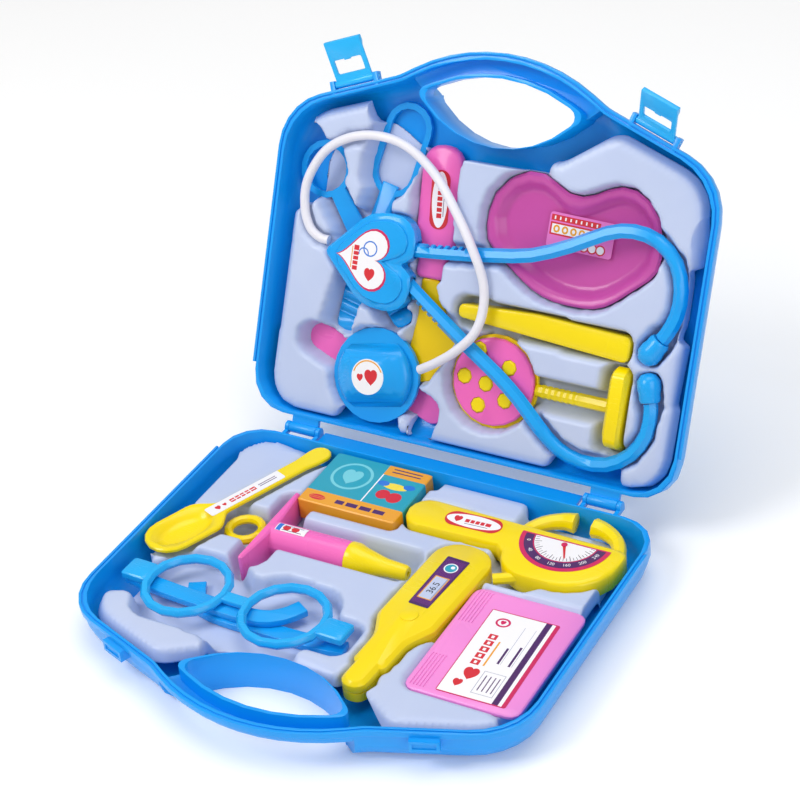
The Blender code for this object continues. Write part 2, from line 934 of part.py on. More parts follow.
def gauge_arm(side):
    """A clamp arm rising from the flat side and curling inwards to a rounded end."""
    half = gauge_flat_half
    spots_shares = [(0.86, -0.10), (0.84, 0.25), (0.66, 0.56), (0.38, 0.73), (0.17, 0.76)]
    path = [(side * half * x, half * y, -gauge_height / 2) for x, y in spots_shares]
    wide, high = gauge_arm_width / 2, gauge_arm_height / 2
    section = [(x * wide, y * high) for x, y in circle(1, 8)]
    return swept(
        "gauge_arm", smooth_path(path, 3), section, scale=lambda t: 0.8 + 0.45 * t * t
    )


def gauge():
    edge = gauge_height / 5
    bottom = -gauge_height
    front = slab("gauge_front", gauge_body_shape, bottom, 0, 0, edge, 2)
    for side in (-1, 1):
        join(front, gauge_arm(side))
    half = gauge_flat_half
    stub = swept(
        "stub",
        [(-half * 0.35, -half * 0.85, bottom / 2), (-half * 0.80, -half * 1.10, bottom / 2)],
        circle(gauge_arm_width * 0.33, 8),
    )
    join(front, stub)
    top = bottom - seat_gap
    back = slab(
        "gauge_back",
        lambda grow: gauge_body_shape(grow - edge / 2),
        top - gauge_back_height,
        top,
        round_low=edge / 2,
        steps=1,
    )
    for piece in (front, back):
        in_base(piece, gauge_x, gauge_r, gauge_depth)
        finished(piece, toy_yellow)


# Identity card
card_left, card_right, card_back_r, card_front_r = 0.0615, 0.1265, 0.0785, 0.1645
card_corner = 0.006
card_depth = 0.0055
card_thickness = 0.003
card_rib_width = 0.0009
card_rib_pitch = 0.0019
card_ribs = 5
card_rib_length = 0.026


def card_shape(grow=0.0):
    corners = [
        (card_left, -card_back_r, card_corner, 3),
        (card_right, -card_back_r, card_corner, 3),
        (card_right, -card_front_r, card_corner, 3),
        (card_left, -card_front_r, card_corner, 3),
    ]
    return rounded_outline(corners, grow)


def id_card():
    edge = card_thickness / 4
    piece = slab("id_card", card_shape, -card_thickness, 0, edge, edge, 1)
    for k in range(card_ribs):
        x = card_left + card_corner / 2 + k * card_rib_pitch
        for low, high in (
            (-card_back_r - card_corner / 2 - card_rib_length, -card_back_r - card_corner / 2),
            (-card_front_r + card_corner / 2, -card_front_r + card_corner / 2 + card_rib_length),
        ):
            rib = box("rib", (x, low, -card_rib_width / 2), (x + card_rib_width, high, overrun))
            cut(piece, rib)
    return finished(in_base(piece, 0, 0, card_depth), card_pink)


spoon()
medicine_box()
syringe_barrel()
syringe_nozzle()
syringe_plunger()
glasses_front()
glasses_temple_pair()
thermometer()
gauge()
id_card()


# Scissors
scissors_x, scissors_r, scissors_depth = -0.0785, 0.1030, 0.0150
scissors_thickness = 0.0024
scissors_blade_length = 0.050
scissors_blade_width = 0.017
scissors_shank_width = 0.013
scissors_loop_tube = 0.0036
scissors_rivet_radius = 0.0035
scissors_ribs = 4
scissors_rib_depth = 0.0006
small_loop_radius = 0.0170
small_loop_reach = 0.0540
long_loop_width = 0.0300
long_loop_length = 0.0560
long_loop_reach = 0.0620
scissors_turns_degrees = (38, -12)


def blade_shape(grow=0.0):
    """One half along +Y: the blade below the pivot, the shank above it."""
    blade, shank = scissors_blade_width / 2, scissors_shank_width / 2
    corners = [
        (-blade * 0.6, -scissors_blade_length, blade * 0.5, 2),
        (blade * 0.9, -scissors_blade_length, blade * 0.5, 2),
        (blade, -scissors_blade_length * 0.3, blade, 2),
        (shank, small_loop_reach * 0.2, shank, 2),
        (shank * 0.8, small_loop_reach * 0.76, 0, 1),
        (-shank * 0.8, small_loop_reach * 0.76, 0, 1),
        (-shank, small_loop_reach * 0.2, shank, 2),
        (-blade, -scissors_blade_length * 0.3, blade, 2),
    ]
    return rounded_outline(corners, grow)


def scissors_half(name, turn_degrees, loop_path, depth):
    edge = scissors_thickness / 4
    piece = slab(name, blade_shape, -scissors_thickness, 0, edge, edge, 1)
    half = scissors_thickness / 2
    tube = scissors_loop_tube
    section = [(-tube / 2, -half), (tube / 2, -half), (tube / 2, half), (-tube / 2, half)]
    loop = swept("finger_loop", [(x, y, -half) for x, y in loop_path], section, closed=True)
    join(piece, loop)
    for k in range(scissors_ribs):
        y = -scissors_blade_length * (0.35 + 0.15 * k)
        notch = box(
            "notch",
            (-scissors_blade_width, y - scissors_rib_depth, -scissors_rib_depth),
            (scissors_blade_width, y + scissors_rib_depth, overrun),
        )
        cut(piece, notch)
    hole = turned(
        "rivet_hole",
        [
            (scissors_rivet_radius * 0.6 + running_gap, -overrun),
            (scissors_rivet_radius * 0.6 + running_gap, overrun),
        ],
        12,
    )
    cut(piece, hole)
    moved(piece, turn=(0, 0, turn_degrees))
    return finished(in_lid(piece, scissors_x, scissors_r, depth), case_blue)


def oval_path(width, length, steps, centre_y):
    """A stadium: two half circles joined by straight sides."""
    radius = width / 2
    straight = (length - width) / 2
    corners = [
        (-radius, centre_y - straight - radius, radius * full_round_share, steps),
        (radius, centre_y - straight - radius, radius * full_round_share, steps),
        (radius, centre_y + straight + radius, radius * full_round_share, steps),
        (-radius, centre_y + straight + radius, radius * full_round_share, steps),
    ]
    return rounded_outline(corners)


def scissors():
    small = circle(small_loop_radius - scissors_loop_tube / 2, 18, (0, small_loop_reach))
    scissors_half("scissors_half_a", scissors_turns_degrees[0], small, scissors_depth)
    tube = scissors_loop_tube
    long = oval_path(long_loop_width - tube, long_loop_length - tube, 4, long_loop_reach)
    under = scissors_depth + scissors_thickness + seat_gap
    scissors_half("scissors_half_b", scissors_turns_degrees[1], long, under)
    head, stem = scissors_rivet_radius, scissors_rivet_radius * 0.6
    top = scissors_rib_depth + seat_gap
    profile = [
        (stem, -2 * scissors_thickness),
        (stem, seat_gap),
        (head, seat_gap),
        (head * 0.8, top),
    ]
    rivet = turned("scissors_rivet", profile, 12)
    finished(in_lid(rivet, scissors_x, scissors_r, scissors_depth), case_blue)


# Scalpel
scalpel_x, scalpel_r, scalpel_turn_degrees = -0.0355, 0.1325, 91
scalpel_length = 0.077
scalpel_width = 0.026
scalpel_height = 0.0070
scalpel_depth = 0.0130
scalpel_collar_length = 0.010
scalpel_shaft_width = 0.011
scalpel_shaft_length = 0.022
scalpel_blade_length = 0.041
scalpel_blade_width = 0.030
scalpel_blade_thickness = 0.0026


def scalpel_handle_shape(grow=0.0):
    wide, left = scalpel_width / 2, -scalpel_length / 2
    collar = scalpel_collar_length
    half = [
        (left, wide * 0.75, wide * 0.2, 2),
        (left + collar, wide * 0.68, wide * 0.3, 2),
        (left + 2 * collar, wide * 0.95, wide, 2),
        (-left * 0.6, wide, wide, 2),
        (-left, wide * 0.92, wide * 0.85, 4),
    ]
    other = [(x, -y, radius, steps) for x, y, radius, steps in reversed(half)]
    return rounded_outline(half + other, grow)


def scalpel_blade_shape(grow=0.0):
    """From the collar to the left: the shaft, then the blade with its slanting edge."""
    start = -scalpel_length / 2 - seat_gap
    shaft, neck = scalpel_shaft_width / 2, start - scalpel_shaft_length
    tip, wide = neck - scalpel_blade_length, scalpel_blade_width
    corners = [
        (start, -shaft, shaft / 5, 1),
        (start, shaft, shaft / 5, 1),
        (neck, shaft, shaft, 2),
        (neck - scalpel_blade_length * 0.45, wide * 0.28, shaft, 2),
        (tip, wide * 0.30, shaft * 0.8, 3),
        (tip + scalpel_blade_length * 0.1, -wide * 0.25, shaft * 0.5, 2),
        (neck - scalpel_blade_length * 0.30, -wide * 0.72, shaft * 0.4, 2),
        (neck + scalpel_shaft_length * 0.1, -wide * 0.42, shaft * 0.4, 2),
    ]
    return rounded_outline(corners, grow)


def scalpel():
    edge = scalpel_height / 3
    handle = slab("scalpel_handle", scalpel_handle_shape, -scalpel_height, 0, edge, edge, 2)
    in_lid(handle, scalpel_x, scalpel_r, scalpel_depth, scalpel_turn_degrees)
    finished(handle, toy_pink)
    top = -(scalpel_height - scalpel_blade_thickness) / 2
    blade = slab(
        "scalpel_blade", scalpel_blade_shape, top - scalpel_blade_thickness, top,
        scalpel_blade_thickness / 4, scalpel_blade_thickness / 4, 1,
    )
    in_lid(blade, scalpel_x, scalpel_r, scalpel_depth, scalpel_turn_degrees)
    finished(blade, toy_yellow)


# Kidney dish
dish_x, dish_r, dish_turn_degrees = 0.0510, 0.1325, -1.5
dish_depth = 0.0115
dish_length = 0.108
dish_width = 0.068
dish_notch = 0.0095
dish_height = 0.0085
dish_lip = 0.0042
dish_wall = 0.0016
dish_draft = 0.006


def dish_shape(grow=0.0):
    long, wide, notch = dish_length / 2, dish_width / 2, dish_notch
    corners = [
        (-long, -wide * 0.35, wide * 0.5, 2),
        (-long * 0.25, -wide * 1.12, long * 0.9, 4),
        (long * 0.42, -wide * 1.08, long * 0.55, 3),
        (long, -wide * 0.25, wide * 0.45, 2),
        (long * 0.92, wide * 0.62, wide * 0.8, 2),
        (long * 0.52, wide * 1.12, wide * 0.62, 3),
        (-long * 0.06, wide - notch * 1.55, wide * 0.6, 3),
        (-long * 0.52, wide * 1.12, wide * 0.62, 3),
        (-long * 1.0, wide * 0.5, wide * 0.75, 2),
    ]
    return rounded_outline(corners, grow)


def kidney_dish():
    lip, wall, height = dish_lip, dish_wall, dish_height
    levels = [
        (-lip - dish_draft, -height),
        (-lip - dish_draft * 0.35, -height * 0.86),
        (-lip * 0.75, -lip * 0.45),
        (0, -lip * 0.25),
        (-lip * 0.3, 0),
        (-lip * 0.75, -lip * 0.05),
        (-lip - wall, -lip * 0.5),
        (-lip - wall - dish_draft * 0.4, -height * 0.84 + wall * 0.5),
        (-lip - wall - dish_draft * 0.95, -height + wall),
    ]
    piece = loft("kidney_dish", [at_height(dish_shape(grow), z) for grow, z in levels])
    return finished(in_lid(piece, dish_x, dish_r, dish_depth, dish_turn_degrees), toy_pink)


# Tweezers, lying on edge
tweezers_x, tweezers_r, tweezers_turn_degrees = 0.0420, 0.0795, -1.5
tweezers_length = 0.106
tweezers_height = 0.0125
tweezers_wide = 0.0155
tweezers_narrow = 0.0078
tweezers_leaf = 0.0034
tweezers_depth = 0.0075


def tweezers():
    long, wide, narrow = tweezers_length / 2, tweezers_wide / 2, tweezers_narrow / 2
    corners = [
        (-long, -narrow, narrow * 0.8, 3),
        (long, -wide, wide * 0.45, 3),
        (long, wide * 0.9, wide * 0.45, 3),
        (-long * 0.1, wide, long, 3),
        (-long, narrow, narrow * 0.8, 3),
    ]
    shape = lambda grow: rounded_outline(corners, grow)
    edge = tweezers_leaf / 4
    piece = slab("tweezers", shape, -tweezers_height, 0, edge, edge, 1)
    slot = [
        (-long * 1.2, -narrow * 0.35, 0, 1),
        (long * 0.72, -wide + tweezers_leaf, tweezers_leaf / 3, 2),
        (long * 0.72, wide - tweezers_leaf, tweezers_leaf / 3, 2),
        (-long * 1.2, narrow * 0.35, 0, 1),
    ]
    low = -tweezers_height - overrun
    high = -tweezers_leaf
    cut(piece, slab("leaf_gap", lambda grow: rounded_outline(slot, grow), low, high))
    in_lid(piece, tweezers_x, tweezers_r, tweezers_depth, tweezers_turn_degrees)
    return finished(piece, toy_yellow)


# Hammer
hammer_x, hammer_r, hammer_turn_degrees = 0.0145, 0.0435, 0
hammer_disc_radius = 0.0272
hammer_disc_height = 0.0045
hammer_face_height = 0.0030
hammer_face_inset = 0.0018
hammer_dot_radius = 0.0046
hammer_dot_height = 0.0006
hammer_dot_shares = [
    (-0.66, 0.0),
    (-0.15, -0.07),
    (-0.26, -0.55),
    (0.33, -0.34),
    (0.33, 0.36),
    (-0.4, 0.62),
]
hammer_shaft_radius = 0.0040
hammer_shaft_end = 0.073
hammer_grip_length = 0.026
hammer_ribs = 7
hammer_head_half = 0.0245
hammer_head_rise = 0.0045
hammer_shaft_rise = 0.0010
hammer_head_width = 0.017
hammer_depth = 0.0118


def hammer():
    radius = hammer_disc_radius
    bottom = -hammer_face_height - seat_gap
    disc = turned(
        "hammer_handle",
        [
            (radius - hammer_face_inset, bottom - hammer_disc_height),
            (radius, bottom - hammer_disc_height / 2),
            (radius, bottom),
        ],
        22,
    )
    axis_z = bottom - hammer_disc_height / 2 + hammer_shaft_rise
    start = radius * 0.96
    profile = [(hammer_shaft_radius, start)]
    pitch = hammer_grip_length / hammer_ribs
    for k in range(hammer_ribs):
        at = radius * 1.04 + k * pitch
        profile += [
            (hammer_shaft_radius * 0.86, at),
            (hammer_shaft_radius, at + pitch * 0.35),
            (hammer_shaft_radius, at + pitch * 0.8),
        ]
    end = hammer_shaft_end - seat_gap
    profile.append((hammer_shaft_radius, end))
    join(disc, moved(along_x(turned("shaft", profile, 8)), (0, 0, axis_z)))
    face_radius = radius - hammer_face_inset
    face = turned(
        "hammer_face",
        [
            (face_radius, bottom + seat_gap),
            (face_radius, -hammer_face_inset / 2),
            (face_radius - hammer_face_inset / 2, 0),
        ],
        22,
    )
    for along, across_share in hammer_dot_shares:
        spot = (along * radius, across_share * radius, 0)
        hole_radius = hammer_dot_radius + running_gap
        hole = turned("dot_hole", [(hole_radius, bottom), (hole_radius, overrun)], 8)
        cut(face, moved(hole, spot))
        peg = turned(
            "dot_peg",
            [
                (hammer_dot_radius, bottom - hammer_disc_height / 2),
                (hammer_dot_radius, 0),
                (hammer_dot_radius * 0.8, hammer_dot_height),
            ],
            8,
        )
        join(disc, moved(peg, spot))
    half = hammer_head_half
    corners = [
        (-half, -hammer_head_width * 0.5, hammer_head_width * 0.12, 2),
        (half * 0.92, -hammer_head_width * 0.42, hammer_head_width * 0.12, 2),
        (half, hammer_head_width * 0.02, hammer_head_width * 0.1, 2),
        (half * 0.86, hammer_head_width * 0.5, hammer_head_width * 0.25, 2),
        (-half * 0.8, hammer_head_width * 0.5, hammer_head_width * 0.3, 2),
    ]
    edge = hammer_head_width * 0.1
    head = slab(
        "hammer_head",
        lambda grow: rounded_outline(corners, grow),
        0,
        hammer_head_width * 0.6,
        edge,
        edge,
        1,
    )
    moved(head, (hammer_shaft_end, 0, axis_z + hammer_head_rise), (90, 0, 90))
    for piece, colour in ((disc, toy_yellow), (face, toy_pink), (head, toy_yellow)):
        in_lid(piece, hammer_x, hammer_r, hammer_depth, hammer_turn_degrees)
        finished(piece, colour)


# Tongue depressor
depressor_x, depressor_r, depressor_turn_degrees = -0.0630, 0.0325, -20
depressor_length = 0.100
depressor_width = 0.0165
depressor_thickness = 0.0024
depressor_depth = 0.0179


def depressor_shape(grow=0.0):
    long, wide = depressor_length / 2, depressor_width / 2
    round_end = wide * full_round_share
    corners = [
        (-long, -wide, round_end, 4),
        (long, -wide, round_end, 4),
        (long, wide, round_end, 4),
        (-long, wide, round_end, 4),
    ]
    return rounded_outline(corners, grow)


def tongue_depressor():
    edge = depressor_thickness / 4
    piece = slab("tongue_depressor", depressor_shape, -depressor_thickness, 0, edge, edge, 1)
    in_lid(piece, depressor_x, depressor_r, depressor_depth, depressor_turn_degrees)
    return finished(piece, toy_pink)


# Stethoscope, which lifts out of the lid as one
yoke_x, yoke_r, yoke_depth = -0.0720, 0.1000, 0.0010
yoke_length = 0.056
yoke_width = 0.055
yoke_front_height = 0.0055
yoke_back_height = 0.0050
yoke_step = 0.004
yoke_step_height = 0.0012
yoke_notch = 0.007
sleeve_overlap_share = 0.6
ear_tube_radius = 0.00425
ear_slot_count = 6
ear_slot_pitch = 0.0046
ear_slot_width = 0.0024
ear_slot_depth = 0.0022
ear_tip_length = 0.016
ear_tip_radius = 0.0068
chest_x, chest_r, chest_depth = -0.0595, 0.0325, 0.0005
chest_radius = 0.0280
chest_ring_height = 0.0040
chest_dome_radius = 0.0240
chest_dome_height = 0.0070
chest_cap_radius = 0.0130
chest_cap_height = 0.0030
tube_radius = 0.00275

stethoscope_frame = empty("stethoscope_frame", (0, 0, 0), parent=lid_frame)


def in_stethoscope(piece, x, r, depth, turn=0.0):
    return in_lid(piece, x, r, depth, turn, stethoscope_frame)


def heart_shape(grow=0.0):
    """A heart with its tip to the left and its notch to the right."""
    tip, wide, notch = yoke_length / 2, yoke_width / 2, yoke_notch
    half = [
        (tip - notch, 0, notch * 0.2, 2),
        (tip * 1.12, wide * 0.16, wide * 0.3, 2),
        (tip * 1.02, wide * 1.06, wide * 0.52, 4),
        (-tip * 0.02, wide * 0.98, wide * 0.7, 2),
        (-tip, 0, tip * 0.12, 2),
    ]
    other = [(x, -y, radius, steps) for x, y, radius, steps in reversed(half) if y]
    return rounded_outline(half + other, grow)


def yoke():
    edge = yoke_front_height / 4
    levels = [
        (0, -yoke_front_height),
        (0, -edge),
        (-edge, 0),
        (-yoke_step, 0),
        (-yoke_step, yoke_step_height - edge / 3),
        (-yoke_step - edge / 3, yoke_step_height),
    ]
    front = loft("yoke_front", [at_height(heart_shape(grow), height) for grow, height in levels])
    top = -yoke_front_height - seat_gap
    back = slab("yoke_back", heart_shape, top - yoke_back_height, top, edge, 0, 1)
    depth = yoke_depth + yoke_step_height
    for piece in (front, back):
        sleeves = []
        for spots in ear_routes.values():
            level = yoke_depth + yoke_step_height
            path = [(x - yoke_x, r - yoke_r, level - d) for x, r, d in spots[:2]]
            run = Vector(path[1]) - Vector(path[0])
            path = [Vector(path[0]) - run * sleeve_overlap_share, Vector(path[1])]
            sleeves.append(swept("sleeve", path, circle(ear_tube_radius + 3 * seat_gap, 8)))
        cut(piece, *sleeves)
        in_stethoscope(piece, yoke_x, yoke_r, depth)
        finished(piece, case_blue)


# Ear tubes: plan places and depths of the middle of the tube
ear_routes = {
    "ear_tube_upper": [
        (-0.0500, 0.1090, 0.0085),
        (-0.0320, 0.1105, 0.0085),
        (-0.0100, 0.1130, 0.0074),
        (0.0080, 0.1155, 0.0069),
        (0.0300, 0.1195, 0.0069),
        (0.0530, 0.1290, 0.0066),
        (0.0730, 0.1395, 0.0066),
        (0.0880, 0.1430, 0.0066),
        (0.1030, 0.1400, 0.0068),
        (0.1145, 0.1300, 0.0075),
        (0.1195, 0.1160, 0.0080),
        (0.1190, 0.1020, 0.0085),
        (0.1150, 0.0915, 0.0085),
        (0.1125, 0.0875, 0.0085),
    ],
    "ear_tube_lower": [
        (-0.0515, 0.0945, 0.0085),
        (-0.0395, 0.0855, 0.0085),
        (-0.0215, 0.0740, 0.0076),
        (-0.0015, 0.0615, 0.0069),
        (0.0185, 0.0495, 0.0066),
        (0.0345, 0.0380, 0.0066),
        (0.0485, 0.0255, 0.0068),
        (0.0615, 0.0155, 0.0078),
        (0.0760, 0.0110, 0.0085),
        (0.0920, 0.0125, 0.0085),
        (0.1050, 0.0210, 0.0085),
        (0.1120, 0.0340, 0.0085),
        (0.1125, 0.0470, 0.0085),
        (0.1115, 0.0515, 0.0085),
    ],
}
ear_tips = {"ear_tip_upper": "ear_tube_upper", "ear_tip_lower": "ear_tube_lower"}


def ear_tubes():
    for name, spots in ear_routes.items():
        path = smooth_path([(x, r + hinge_back, -d - rim_gap / 2) for x, r, d in spots], 2)
        piece = swept(name, path, circle(ear_tube_radius, 7))
        first, second = Vector(path[1]), Vector(path[5])
        along = (second - first).normalized()
        side = Vector((0, 0, 1)).cross(along) * (-1 if name.endswith("lower") else 1)
        for k in range(ear_slot_count):
            spot = first + along * ear_slot_pitch * (k + 1.5)
            slot = box(
                "slot",
                (-ear_slot_width / 2, ear_tube_radius - ear_slot_depth, -overrun * 2),
                (ear_slot_width / 2, ear_tube_radius + overrun, overrun * 2),
            )
            turn = math.degrees(math.atan2(along.y, along.x))
            if side.dot(Vector((-along.y, along.x, 0))) < 0:
                turn += 180
            cut(piece, moved(slot, spot, (0, 0, turn)))
        piece.parent = stethoscope_frame
        finished(piece, case_blue)
    for name, tube in ear_tips.items():
        before, last = (
            Vector((x, r + hinge_back, -d - rim_gap / 2)) for x, r, d in ear_routes[tube][-2:]
        )
        along = (last - before).normalized()
        length, radius = ear_tip_length, ear_tip_radius
        profile = [
            (ear_tube_radius * 1.25, 2 * seat_gap),
            (ear_tube_radius * 1.45, length * 0.15),
            (ear_tube_radius * 1.45, length * 0.35),
            (radius, length * 0.5),
            (radius, length * 0.78),
            (radius * 0.65, length),
            (radius * 0.2, length * 1.06),
        ]
        tip = turned(name, profile, 14)
        moved(tip, turn=(0, 90, math.degrees(math.atan2(along.y, along.x))))
        tip.parent = stethoscope_frame
        tip.location = last
        finished(tip, case_blue)


def chest_piece():
    ring_top = -chest_cap_height - chest_dome_height
    radius, dome = chest_radius, chest_dome_radius
    ring = turned(
        "chest_ring",
        [
            (radius * 0.94, ring_top - chest_ring_height),
            (radius, ring_top - chest_ring_height * 0.75),
            (radius, ring_top - seat_gap),
        ],
        28,
    )
    cap = chest_cap_radius
    profile = [(dome, ring_top), (dome, ring_top + chest_dome_height * 0.3)]
    for k in range(1, 5):
        angle = math.pi / 2 * k / 5
        profile.append(
            (
                cap + (dome - cap) * math.cos(angle),
                ring_top + chest_dome_height * (0.3 + 0.7 * math.sin(angle)),
            )
        )
    profile += [(cap, 0), (cap * 0.9, 0)]
    piece = turned("chest_dome", profile, 28)
    for side in (-1, 1):
        grip = turned("grip", [(cap * 1.5, -dome), (cap * 1.5, dome)], 20)
        cut(piece, moved(grip, (0, side * (cap * 2.15), cap * 0.55), (0, 90, 12)))
    in_stethoscope(piece, chest_x, chest_r, chest_depth)
    in_stethoscope(ring, chest_x, chest_r, chest_depth)
    finished(piece, case_blue)
    finished(ring, case_blue)


# The white tube: plan places and depths of its middle
tube_route = [
    (-0.1000, 0.1055, 0.0075),
    (-0.1060, 0.1062, 0.0072),
    (-0.1130, 0.1110, 0.0066),
    (-0.1178, 0.1220, 0.0060),
    (-0.1180, 0.1380, 0.0056),
    (-0.1090, 0.1560, 0.0052),
    (-0.0940, 0.1665, 0.0050),
    (-0.0750, 0.1705, 0.0050),
    (-0.0550, 0.1670, 0.0050),
    (-0.0350, 0.1540, 0.0046),
    (-0.0165, 0.1340, 0.0018),
    (-0.0030, 0.1165, -0.0006),
    (0.0050, 0.1000, 0.0012),
    (0.0070, 0.0840, 0.0016),
    (0.0040, 0.0700, 0.0000),
    (-0.0060, 0.0580, -0.0004),
    (-0.0180, 0.0490, 0.0020),
    (-0.0290, 0.0425, 0.0050),
]


def chest_tube():
    path = smooth_path([(x, r + hinge_back, -d - rim_gap / 2) for x, r, d in tube_route], 3)
    curve = bpy.data.curves.new("chest_tube", "CURVE")
    curve.dimensions = "3D"
    curve.bevel_depth = tube_radius
    curve.bevel_resolution = 2
    curve.use_fill_caps = True
    spline = curve.splines.new("POLY")
    spline.points.add(len(path) - 1)
    for point, spot in zip(spline.points, path):
        point.co = (*spot, 1)
    piece = bpy.data.objects.new("chest_tube", curve)
    bpy.context.scene.collection.objects.link(piece)
    piece.parent = stethoscope_frame
    material = bpy.data.materials.new("chest_tube")
    material.use_nodes = True
    material.node_tree.nodes["Principled BSDF"].inputs["Base Color"].default_value = (*tube_white, 1)
    curve.materials.append(material)
    return piece


scissors()
scalpel()
kidney_dish()
tweezers()
hammer()
tongue_depressor()
yoke()
ear_tubes()
chest_piece()
chest_tube()


# Formed sheet inserts
tray_sheet = 0.0010
tray_clearance = 0.0010
tray_foot_depth = 0.02115
tray_half_width = 0.1245
tray_back_r = 0.0033
tray_back_radius = 0.018
tray_shoulder_r = 0.1720
tray_front_radius = 0.024
tray_nose_x = 0.0700
tray_nose_r = 0.1915
tray_nose_radius = 0.010
tray_bay_x = 0.0380
tray_bay_r = 0.1710
tray_bay_radius = 0.016
tray_skirt_depth = 0.0125
tray_skirt_flare = 0.0035
tray_foot_inset = 0.0050
tray_foot_back_r = 0.0125
tray_foot_radius = 0.028
tray_under_share = 1.4
base_plateau_depth = 0.0040
lid_plateau_depth = 0.0045
box_pocket_depth = box_depth + box_height + seat_gap
spoon_pocket_depth = spoon_depth + spoon_bowl_depth + seat_gap
syringe_pocket_depth = syringe_depth + nozzle_collar_radius + seat_gap
glasses_pocket_depth = temple_depth + 1.5 * temple_thickness + 2 * seat_gap
thermometer_pocket_depth = (
    thermometer_depth + thermometer_front_height + thermometer_back_height + 2 * seat_gap
)
gauge_pocket_depth = gauge_depth + gauge_height + gauge_back_height + 2 * seat_gap
card_pocket_depth = card_depth + card_thickness + seat_gap
syringe_wing_room = 0.006
syringe_end_room = 0.004
gauge_arm_room_back_r = 0.0030
glasses_room = 0.004
tube_notch = (0.0670, 0.0940)
bridge_width = 0.0045
bridge_length = 0.041


def tray_corners(side, flare, back_r, back_radius):
    """Corners of a tray's plan; side is -1 where y runs against r."""
    half = [
        (tray_half_width + flare, back_r, back_radius, 3),
        (tray_half_width + flare, tray_shoulder_r + flare, tray_front_radius, 4),
        (tray_nose_x, tray_nose_r + flare, tray_nose_radius, 2),
        (tray_bay_x, tray_bay_r + flare / 2, tray_bay_radius, 2),
    ]
    return [(x, side * r, radius, steps) for x, r, radius, steps in mirrored_corners(half)]


def tray_block(name, side, plateau_depth, grow, drop):
    # The underside slopes at about 45 degrees, so an even sheet needs more offset in plan there
    under = grow * tray_under_share
    rings = [
        (
            -tray_foot_inset - drop,
            tray_foot_back_r + drop,
            tray_foot_radius,
            tray_foot_depth + drop,
            under,
        ),
        (tray_skirt_flare, tray_back_r, tray_back_radius, tray_skirt_depth, under),
        (0, tray_back_r, tray_back_radius, plateau_depth + drop, grow),
    ]
    return loft(
        name,
        [
            at_height(rounded_outline(tray_corners(side, flare, back_r, radius), offset), -depth)
            for flare, back_r, radius, depth, offset in rings
        ],
    )


def placed(shape, x, y, turn_degrees=0.0):
    """The same outline turned and shifted in plan."""
    matrix = Matrix.Rotation(math.radians(turn_degrees), 2)
    return lambda grow: [tuple(matrix @ Vector(p) + Vector((x, y))) for p in shape(grow)]


def plan_box(left, right, low, high, radius, steps=2):
    corners = [(left, low), (right, low), (right, high), (left, high)]
    return lambda grow: rounded_outline([(x, y, radius, steps) for x, y in corners], grow)


def disc_shape(radius, steps=16):
    return lambda grow: circle(radius + grow, steps)


def base_pockets():
    """Outlines of the recesses, with y against r, and the depth of each floor."""
    back = -syringe_r
    ring_end = syringe_x - plunger_out - 2 * plunger_ring_radius
    tip_end = syringe_x + syringe_barrel_length + nozzle_length
    lens = lens_ring_radius + glasses_room / 2
    middle = lens_spacing / 2
    lug = lug_height / 2 + glasses_room / 2
    half = [
        (lug_reach + glasses_room, lug, glasses_room, 2),
        (middle + lens * 0.86, lug, glasses_room, 1),
        (middle + lens * 0.72, lens, lens * 0.5, 3),
        (middle - lens * 0.60, lens, lens * 0.5, 3),
        (0, lens * 0.62, lens * 0.3, 1),
    ]
    upper = half + [(-x, y, radius, steps) for x, y, radius, steps in reversed(half[:-1])]
    lower = [
        (-lug_reach - glasses_room, -lug * 1.6, glasses_room, 2),
        (-middle - lens * 0.8, -lug * 1.7, glasses_room, 1),
        (-middle - lens * 0.6, -lens * 1.05, lens * 0.5, 3),
        (middle + lens * 0.6, -lens * 1.05, lens * 0.5, 3),
        (middle + lens * 0.8, -lug * 1.7, glasses_room, 1),
        (lug_reach + glasses_room, -lug * 1.6, glasses_room, 2),
    ]
    return [
        (placed(spoon_shape, spoon_x, -spoon_r, spoon_turn_degrees), spoon_pocket_depth),
        (medicine_box_shape, box_pocket_depth),
        (
            plan_box(
                ring_end - syringe_end_room,
                tip_end + syringe_end_room,
                back - plunger_ring_radius,
                back + plunger_ring_radius,
                plunger_ring_radius / 2,
                3,
            ),
            syringe_pocket_depth,
        ),
        (
            plan_box(
                syringe_x - syringe_wing_room,
                syringe_x + 2 * syringe_wing_room,
                back - wing_half_span,
                back + wing_half_span,
                syringe_wing_room,
            ),
            syringe_pocket_depth,
        ),
        (
            placed(
                lambda grow: rounded_outline(upper + lower, grow),
                glasses_x,
                -glasses_r,
                glasses_turn_degrees,
            ),
            glasses_pocket_depth,
        ),
        (
            placed(thermometer_shape, thermometer_x, -thermometer_r, thermometer_turn_degrees),
            thermometer_pocket_depth,
        ),
        (placed(gauge_body_shape, gauge_x, -gauge_r), gauge_pocket_depth),
        (
            plan_box(
                gauge_x - gauge_flat_half * 1.02,
                gauge_x + gauge_flat_half * 1.02,
                -gauge_r - gauge_flat_half * 0.6,
                -gauge_arm_room_back_r,
                gauge_flat_half * 0.15,
                2,
            ),
            gauge_pocket_depth - gauge_back_height,
        ),
        (
            plan_box(
                gauge_x - gauge_flat_half * 1.05,
                gauge_x,
                -gauge_r - gauge_flat_half * 1.2,
                -gauge_r - gauge_handle_width / 4,
                gauge_arm_width / 2,
                1,
            ),
            gauge_pocket_depth,
        ),
        (card_shape, card_pocket_depth),
        (
            plan_box(
                card_left - bridge_width,
                card_left + tray_clearance,
                -card_back_r - bridge_length,
                -card_back_r - tray_clearance,
                tray_clearance,
            ),
            card_pocket_depth,
        ),
    ]


